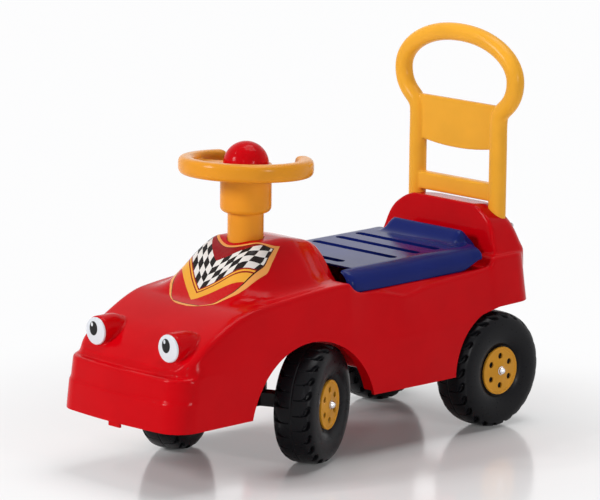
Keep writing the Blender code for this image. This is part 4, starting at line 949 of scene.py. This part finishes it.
# Wheels: made round the X axis with the outer face at +X
def tyre_profile():
    """The tyre's skin as (x, radius) pairs, from the inner bead over the tread to the outer bead."""
    tread = [(0.0, 0.075), (0.006, 0.07492), (0.0125, 0.0744), (0.0175, 0.0733), (0.0215, 0.0712),
             (0.0242, 0.0682), (0.0258, 0.0645), (0.0268, 0.0595), (0.027, 0.054)]
    outer = tread + [(0.0266, 0.048), (0.0256, 0.0425), (0.024, 0.038), (0.0222, 0.035), (0.0206, 0.0332)]
    inner = [(-x, r) for x, r in tread[1:]] + [(-0.0264, 0.047), (-0.0245, 0.039), (-0.0215, 0.0335)]
    return resampled(inner[::-1] + outer, 0.0009)


def groove_depth(run, across, pitch):
    """Depth of the tread's grooves at each place along the profile and round the tyre.

    One lug's groove is a thin line across the tread that hooks round into a deep notch at the shoulder.
    """
    path = ((0.0025, 0.0), (0.008, 0.0001), (0.014, 0.0007), (0.018, 0.0022), (0.0206, 0.0046),
            (0.0224, 0.0078), (0.0238, 0.0112))
    half_width = (0.0005, 0.0006, 0.001, 0.0022, 0.0034, 0.0038, 0.0028)
    full_depth = (0.0008, 0.001, 0.0018, 0.0036, 0.0052, 0.0054, 0.0036)
    line = resampled(np.column_stack([path, half_width, full_depth]), 0.0003)
    at, round_it, wide, deep = line.T[:, :, None]
    depth = np.zeros((len(run), len(across)))
    for side in (-1, 1):
        shifted = (across + (0.5 * pitch if side < 0 else 0.0)) % pitch
        for i in np.where((run * side > 0.001) & (run * side < 0.027))[0]:
            for wrap in (-pitch, 0, pitch):
                gap = np.hypot(run[i] * side - at, shifted + wrap - round_it)
                near = np.clip((1 - gap / wide) * GROOVE_WALL_SLOPE, 0, 1)
                depth[i] = np.maximum(depth[i], (near * near * (3 - 2 * near) * deep).max(axis=0))
    seam = np.clip(1 - np.abs(run) / SEAM_HALF, 0, 1) * SEAM_DEPTH
    return np.maximum(depth, seam[:, None])


def tyre(name):
    profile = tyre_profile()
    run = run_along(profile)
    run -= run[int(np.argmin(np.abs(profile[:, 0]) + (profile[:, 1] < 0.07)))]
    slope = np.gradient(profile, axis=0)
    slope /= np.linalg.norm(slope, axis=1)[:, None]
    count = LUGS * STEPS_PER_LUG
    pitch = 2 * math.pi * WHEEL_RADIUS / LUGS
    depth = groove_depth(run, np.arange(count) / STEPS_PER_LUG * pitch, pitch)
    angles = 2 * math.pi * np.arange(count) / count

    def ring(x, r):
        return np.stack([x + 0 * angles, -r * np.sin(angles), -r * np.cos(angles)], axis=1)

    rings = [ring(x + along_r * deep, r - along_x * deep)
             for (x, r), (along_x, along_r), deep in zip(profile, slope, depth)]
    bore = SLEEVE_RADIUS + GAP
    closing = ((profile[-1][0] - 0.0002, HUB_RADIUS + 0.0006), (0.0206, bore), (-0.0205, bore))
    rings += [ring(x, r) for x, r in closing]
    return make(name, *loft(rings, closed=True))


def hub(name):
    face, plate = HUB_FACE, HUB_PLATE
    sleeve_in = -TYRE_WIDTH / 2 + 0.0045
    profile = [(AXLE_RADIUS + GAP, sleeve_in), (SLEEVE_RADIUS, sleeve_in), (SLEEVE_RADIUS, face - plate),
               (HUB_RADIUS, face - plate), (HUB_RADIUS, face - 0.0006)]
    profile += [(HUB_RADIUS - 0.0006, face), (HUB_RADIUS - 0.0022, face), (HUB_RADIUS - 0.003, face - 0.0009),
                (0.0105, face - 0.0009), (0.0092, face - 0.0002), (AXLE_RADIUS + GAP, face - 0.0002)]
    item = turned(name, profile, 96, "X")
    for k in range(HUB_HOLES):
        a = 2 * math.pi * (k + 0.5) / HUB_HOLES
        at = (0, HUB_HOLE_CIRCLE * math.cos(a), HUB_HOLE_CIRCLE * math.sin(a))
        drill(item, HUB_HOLE_RADIUS, face - 0.008, face + 0.005, 24, "X", at)
    return item


def axle_cap(name):
    bore = AXLE_RADIUS + GAP
    profile = [(0, CAP_FOOT + CAP_DOME)]
    profile += [(CAP_DOME * math.sin(a), CAP_FOOT + CAP_DOME * math.cos(a))
                for a in np.linspace(0.15, math.pi / 2, 12)]
    profile += [(CAP_RADIUS, 0.001), (CAP_RADIUS, 0), (bore, 0), (bore, CAP_DEPTH), (0, CAP_DEPTH)]
    return turned(name, [(r, HUB_FACE + GAP + x) for r, x in profile], 48, "X")


# Sticker on the bonnet and pedestal
DECAL_LIFT = 0.0002
DECAL_SHEET = 0.0002
DECAL_TOP_Y = -0.1245
DECAL_TOP_BOW = 0.0425
DECAL_BOTTOM_Y = -0.202
DECAL_ROWS = 110
DECAL_COLUMNS = 120


def decal_half_width(y):
    """Half-width of the shield shaped sticker at a station along the car."""
    outline = ((-0.202, 0.007), (-0.201, 0.014), (-0.196, 0.0265), (-0.188, 0.0385), (-0.1806, 0.0464),
               (-0.172, 0.0545), (-0.164, 0.0592), (-0.15, 0.0622), (-0.123, 0.0632), (-0.105, 0.057),
               (-0.082, 0.046))
    return smooth_curve(outline, y)


def decal(body):
    """A thin printed sheet laid on the body's skin, with its own flat coordinates."""
    tree = BVHTree.FromObject(body, bpy.context.evaluated_depsgraph_get())
    found, flat = [], []
    for i in range(DECAL_ROWS + 1):
        v = i / DECAL_ROWS
        for j in range(DECAL_COLUMNS + 1):
            u = 2 * j / DECAL_COLUMNS - 1
            top = DECAL_TOP_Y + DECAL_TOP_BOW * abs(u) ** 1.7
            y = DECAL_BOTTOM_Y + (top - DECAL_BOTTOM_Y) * v
            found.append(tree.ray_cast(Vector((u * decal_half_width(y), y, 0.4)), Vector((0, 0, -1)))[:2])
            flat.append((u, v))
    lifts = (DECAL_LIFT + DECAL_SHEET, DECAL_LIFT)
    points = [spot + normal * lift for lift in lifts for spot, normal in found]
    side, count = DECAL_COLUMNS + 1, len(found)
    faces = []
    for i in range(DECAL_ROWS):
        for a in range(i * side, i * side + DECAL_COLUMNS):
            faces.append((a, a + 1, a + side + 1, a + side))
            faces.append((count + a, count + a + side, count + a + side + 1, count + a + 1))
    last = DECAL_ROWS * side
    border = [*range(DECAL_COLUMNS), *range(DECAL_COLUMNS, last + DECAL_COLUMNS, side),
              *range(last + DECAL_COLUMNS, last, -1), *range(last, 0, -side)]
    faces += [(a, count + a, count + b, b) for a, b in zip(border, border[1:] + border[:1])]
    sheet = make("sticker", points, faces, weld=False)
    layer = sheet.data.uv_layers.new(name="flat")
    layer.data.foreach_set("uv", [c for loop in sheet.data.loops for c in flat[loop.vertex_index % count]])
    return sheet


# Materials
def srgb(red, green, blue):
    def linear(c):
        c /= 255
        return c / 12.92 if c <= 0.04045 else ((c + 0.055) / 1.055) ** 2.4
    return (linear(red), linear(green), linear(blue), 1.0)


class Nodes:
    """Short names for adding and linking the shader nodes of a material or a world."""

    def __init__(self, owner):
        owner.use_nodes = True
        self.owner = owner
        self.tree = owner.node_tree

    def fill(self, node, sockets):
        """Gives each named socket a plain value, or links another node's output to it."""
        for key, value in sockets.items():
            if isinstance(value, (int, float, tuple)):
                node.inputs[key].default_value = value
            else:
                self.tree.links.new(value, node.inputs[key])
        return node

    def add(self, kind, sockets=None, **values):
        node = self.tree.nodes.new(kind)
        for key, value in values.items():
            setattr(node, key, value)
        return self.fill(node, sockets or {})

    def surface(self, sockets):
        return self.fill(self.tree.nodes["Principled BSDF"], sockets).outputs[0]

    def math(self, operation, a, b=0.0):
        return self.add("ShaderNodeMath", {0: a, 1: b}, operation=operation).outputs[0]

    def place(self):
        """The object's own coordinates."""
        node = self.tree.nodes.get("place") or self.add("ShaderNodeTexCoord", name="place")
        return node.outputs["Object"]

    def noise(self, scale, detail=3.0, roughness=0.5):
        return self.add("ShaderNodeTexNoise", {"Scale": scale, "Detail": detail, "Roughness": roughness,
                                               "Vector": self.place()}).outputs["Fac"]

    def spread(self, value, low=0.0, high=1.0):
        """Maps a noise's middle range to low..high."""
        return self.add("ShaderNodeMapRange", {"Value": value, "From Min": 0.3, "From Max": 0.7,
                                               "To Min": low, "To Max": high}).outputs["Result"]

    def mix(self, part, a, b):
        return self.add("ShaderNodeMix", {0: part, 6: a, 7: b}, data_type="RGBA").outputs[2]

    def bump(self, height, strength, distance, **before):
        return self.add("ShaderNodeBump", {"Strength": strength, "Distance": distance, "Height": height,
                                           **before}).outputs["Normal"]

    def seen(self):
        """1 on rays from the camera, from a mirror or through glass, and 0 on rays that carry light."""
        rays = self.add("ShaderNodeLightPath").outputs
        direct = self.math("MAXIMUM", rays["Is Camera Ray"], rays["Is Glossy Ray"])
        return self.math("MAXIMUM", direct, rays["Is Transmission Ray"])


def moulded(name, colour, rough, specular, mottle, wave=0.1, grain=0.05):
    """Moulded plastic: faint mottling, uneven gloss, long surface waves and a fine grain."""
    n = Nodes(bpy.data.materials.new(name))
    darker, lighter = (tuple(min(c * (1 + change), 1.0) for c in srgb(*colour)[:3]) + (1.0,)
                       for change in (-mottle, mottle))
    n.surface({"Base Color": n.mix(n.spread(n.noise(22, 4)), darker, lighter),
               "Roughness": n.spread(n.noise(160, 5, 0.6), rough * 0.85, rough * 1.2),
               "Specular IOR Level": specular,
               "Normal": n.bump(n.noise(1400, 2), grain, 0.0002, Normal=n.bump(n.noise(38, 1), wave, 0.001))})
    return n.owner


def metal(name, level, rough):
    n = Nodes(bpy.data.materials.new(name))
    colour = (level, level, level + 0.02, 1.0)
    darker = tuple(c * 0.85 for c in colour[:3]) + (1.0,)
    n.surface({"Metallic": 1.0, "Base Color": n.mix(n.spread(n.noise(260, 4)), darker, colour),
               "Roughness": n.spread(n.noise(900, 3), rough * 0.8, rough * 1.5),
               "Normal": n.bump(n.noise(1800, 2), 0.06, 0.0002)})
    return n.owner


PRINT_ORANGE = (246, 178, 62)
EDGE_DARK_FROM = 0.895
EDGE_ORANGE_FROM = 0.915
CHEVRON_SLOPE = 0.3
CHECKS_FROM = 0.3636
CHECKS_TO = 0.7273
CHECKS_ACROSS = 7.0
CHECKS_UP = 11.0


def printed(name):
    """The sticker's print: a chequered chevron and plain chevrons on red inside an orange border."""
    n = Nodes(bpy.data.materials.new(name))
    split = n.add("ShaderNodeSeparateXYZ", {0: n.add("ShaderNodeUVMap", uv_map="flat").outputs["UV"]})
    u, v = split.outputs[0], split.outputs[1]
    side = n.math("ABSOLUTE", u)
    climb = n.math("SUBTRACT", v, n.math("MULTIPLY", side, CHEVRON_SLOPE))
    edge = n.math("MAXIMUM", side, n.math("ABSOLUTE", n.math("SUBTRACT", n.math("MULTIPLY", v, 2.0), 1.0)))

    def band(low, high):
        return n.math("MULTIPLY", n.math("GREATER_THAN", climb, low), n.math("LESS_THAN", climb, high))

    where = n.add("ShaderNodeCombineXYZ", {0: n.math("MULTIPLY", u, CHECKS_ACROSS),
                                           1: n.math("MULTIPLY", climb, CHECKS_UP), 2: 0.5})
    checks = n.add("ShaderNodeTexChecker", {"Scale": 1.0, "Color1": srgb(238, 236, 232),
                                            "Color2": srgb(22, 22, 24), "Vector": where.outputs[0]})
    colour = n.mix(n.math("GREATER_THAN", climb, 0.3), srgb(205, 20, 25), srgb(150, 6, 22))
    colour = n.mix(band(CHECKS_FROM, CHECKS_TO), colour, checks.outputs["Color"])
    for low, high in ((0.18, 0.3), (0.32, 0.345)):
        colour = n.mix(band(low, high), colour, srgb(*PRINT_ORANGE))
    for start, ink in ((EDGE_DARK_FROM, srgb(70, 20, 18)), (EDGE_ORANGE_FROM, srgb(247, 172, 92))):
        colour = n.mix(n.math("GREATER_THAN", edge, start), colour, ink)
    n.surface({"Base Color": n.mix(n.spread(n.noise(300, 3), 0.0, 0.04), colour, srgb(190, 150, 120)),
               "Specular IOR Level": 0.1, "Roughness": n.spread(n.noise(220, 4), 0.16, 0.24),
               "Normal": n.bump(n.noise(60, 2), 0.1, 0.0005)})
    return n.owner


def make_materials():
    return {
        "red_plastic": moulded("red_moulding", (203, 2, 14), 0.13, 0.06, 0.04, 0.12, 0.04),
        "yellow_plastic": moulded("yellow_moulding", (250, 178, 54), 0.22, 0.1, 0.04),
        "orange_plastic": moulded("orange_moulding", (232, 152, 38), 0.2, 0.12, 0.04),
        "hub_plastic": moulded("hub_moulding", (214, 150, 44), 0.34, 0.12, 0.08, 0.1, 0.12),
        "blue_plastic": moulded("blue_moulding", (20, 34, 106), 0.17, 0.08, 0.06),
        "black_plastic": moulded("black_moulding", (20, 20, 23), 0.42, 0.2, 0.1, 0.1, 0.2),
        "white_plastic": moulded("white_moulding", (224, 228, 234), 0.22, 0.3, 0.02),
        "tyre_black": moulded("tyre_moulding", (20, 20, 23), 0.3, 0.1, 0.1, 0.16, 0.25),
        "steel": metal("steel_finish", 0.58, 0.28),
        "bright_cap": metal("bright_finish", 0.82, 0.12),
    }


def coat(item, slot):
    item.data.materials.clear()
    item.data.materials.append(finishes[slot])


def shade(item):
    item.data.shade_smooth()
    item.data.set_sharp_from_angle(angle=SHARP_ANGLE)


def dress(item, slot, body, *nodes):
    """Gives a piece its finish and its body, and hides the nodes that it stands for."""
    coat(item, slot)
    shade(item)
    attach(item, body)
    if nodes:
        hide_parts(*nodes)
    return item


# Stage
FLOOR_HALF = 14.0
FADE_FROM = 0.22
FADE_TO = 0.66
NEAR_GLOW = 0.05
WORLD_LIGHT = 0.04


def make_floor():
    corners = [(x * FLOOR_HALF, y * FLOOR_HALF, 0) for x, y in ((-1, -1), (1, -1), (1, 1), (-1, 1))]
    mesh = bpy.data.meshes.new("floor")
    mesh.from_pydata(corners, [], [(0, 1, 2, 3)])
    n = Nodes(bpy.data.materials.new("floor_paper"))
    tone = n.mix(n.spread(n.noise(3, 3)), (0.93, 0.925, 0.93, 1), (0.95, 0.945, 0.95, 1))
    paper = n.surface({"Base Color": tone, "Roughness": 0.14, "Specular IOR Level": 0.8})
    # away from the car the sheet runs into the white backdrop
    away = n.add("ShaderNodeVectorMath", {0: n.place()}, operation="LENGTH")
    fade = n.add("ShaderNodeMapRange", {"Value": away.outputs["Value"], "From Min": FADE_FROM,
                                        "From Max": FADE_TO, "To Min": NEAR_GLOW},
                 interpolation_type="SMOOTHSTEP")
    glow = n.add("ShaderNodeEmission", {"Color": (0.98, 0.98, 0.985, 1)})
    glowing = n.math("MULTIPLY", fade.outputs["Result"], n.seen())
    blend = n.add("ShaderNodeMixShader", {0: glowing, 1: paper, 2: glow.outputs[0]})
    n.fill(n.tree.nodes["Material Output"], {"Surface": blend.outputs[0]})
    mesh.materials.append(n.owner)
    add_object("floor", mesh)


def make_world():
    world = bpy.data.worlds.new("studio")
    bpy.context.scene.world = world
    n = Nodes(world)
    strength = n.add("ShaderNodeMapRange", {"Value": n.seen(), "To Min": WORLD_LIGHT, "To Max": 1.0})
    n.fill(n.tree.nodes["Background"], {"Color": (1, 1, 1, 1), "Strength": strength.outputs["Result"]})


def lamp(name, at, towards, size, power):
    data = bpy.data.lights.new(name, "AREA")
    data.shape = "RECTANGLE"
    data.size, data.size_y = size
    data.energy = power
    item = add_object(name, data)
    item.location = at
    item.rotation_euler = (Vector(towards) - Vector(at)).to_track_quat("-Z", "Y").to_euler()


def make_lights():
    middle = (0.0, 0.0, 0.2)
    lamp("overhead", (0.1, 0.9, 4.0), (0.0, 0.0, 0.1), (2.4, 2.4), 86)
    lamp("key", (-1.3, -3.1, 1.8), middle, (0.9, 0.9), 80)
    lamp("fill", (3.4, -0.4, 1.0), middle, (0.6, 0.8), 31)
    lamp("glint", (2.0, -3.2, 2.0), middle, (0.06, 0.06), 6)
    lamp("glint_left", (-1.2, -1.6, 2.4), middle, (0.07, 0.07), 5)


make_camera()
finishes = make_materials()
make_floor()
make_world()
make_lights()

for entry in frame["record"]["subparts"]:
    coat(frame["nodes"][entry["node"]], entry["material_slot"])

body = dress(body_moulding(), "red_plastic", "frame", "body_shell")
sticker = decal(body)
sticker.data.materials.append(printed("print"))
shade(sticker)
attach(sticker, "frame")

dress(push_handle(), "yellow_plastic", "frame", "push_handle")
dress(seat_lid(), "blue_plastic", "seat", "seat_lid")
dress(steering_wheel(), "orange_plastic", "steering", "steering_wheel")
dress(column_tube(), "orange_plastic", "steering", "steering_column")
dress(horn_dome(), "red_plastic", "horn", "horn_button")
spring = dress(spring_coil(), "steel", "steering", "horn_spring")
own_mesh(spring)

for side, word in ((1, "left"), (-1, "right")):
    slots = ("white_plastic", "black_plastic", "white_plastic")
    for (item, node), slot in zip(eye_pieces(side, word), slots):
        dress(item, slot, "frame", *([node] if node else []))

tyre_mesh, hub_mesh, cap_mesh = tyre("tyre_form"), hub("hub_form"), axle_cap("cap_form")
for end, track in (("front", TRACK_FRONT), ("rear", TRACK_REAR)):
    for side, word in ((1, "left"), (-1, "right")):
        axis_place = STEERING if end == "front" else Matrix.Translation((0, REAR_AXLE_Y, 0))
        spot = axis_place @ Matrix.Translation((side * track / 2, 0, WHEEL_RADIUS))
        spot = spot @ Matrix.Diagonal((side, 1, 1, 1))
        wheel_body = f"wheel_{end}_{word}"
        held_by = "steering" if end == "front" else "frame"
        for source, slot, rides, node in ((tyre_mesh, "tyre_black", wheel_body, f"tyre_{end}_{word}"),
                                          (hub_mesh, "hub_plastic", wheel_body, f"hub_{end}_{word}"),
                                          (cap_mesh, "bright_cap", held_by, f"axle_cap_{end}_{word}")):
            copy = into_place(add_object(node + "_moulding", source.data.copy()), spot)
            if side < 0:
                copy.data.flip_normals()
            dress(copy, slot, rides, node)
for item in (tyre_mesh, hub_mesh, cap_mesh):
    bpy.data.objects.remove(item, do_unlink=True)

bpy.context.scene.view_settings.view_transform = "Standard"
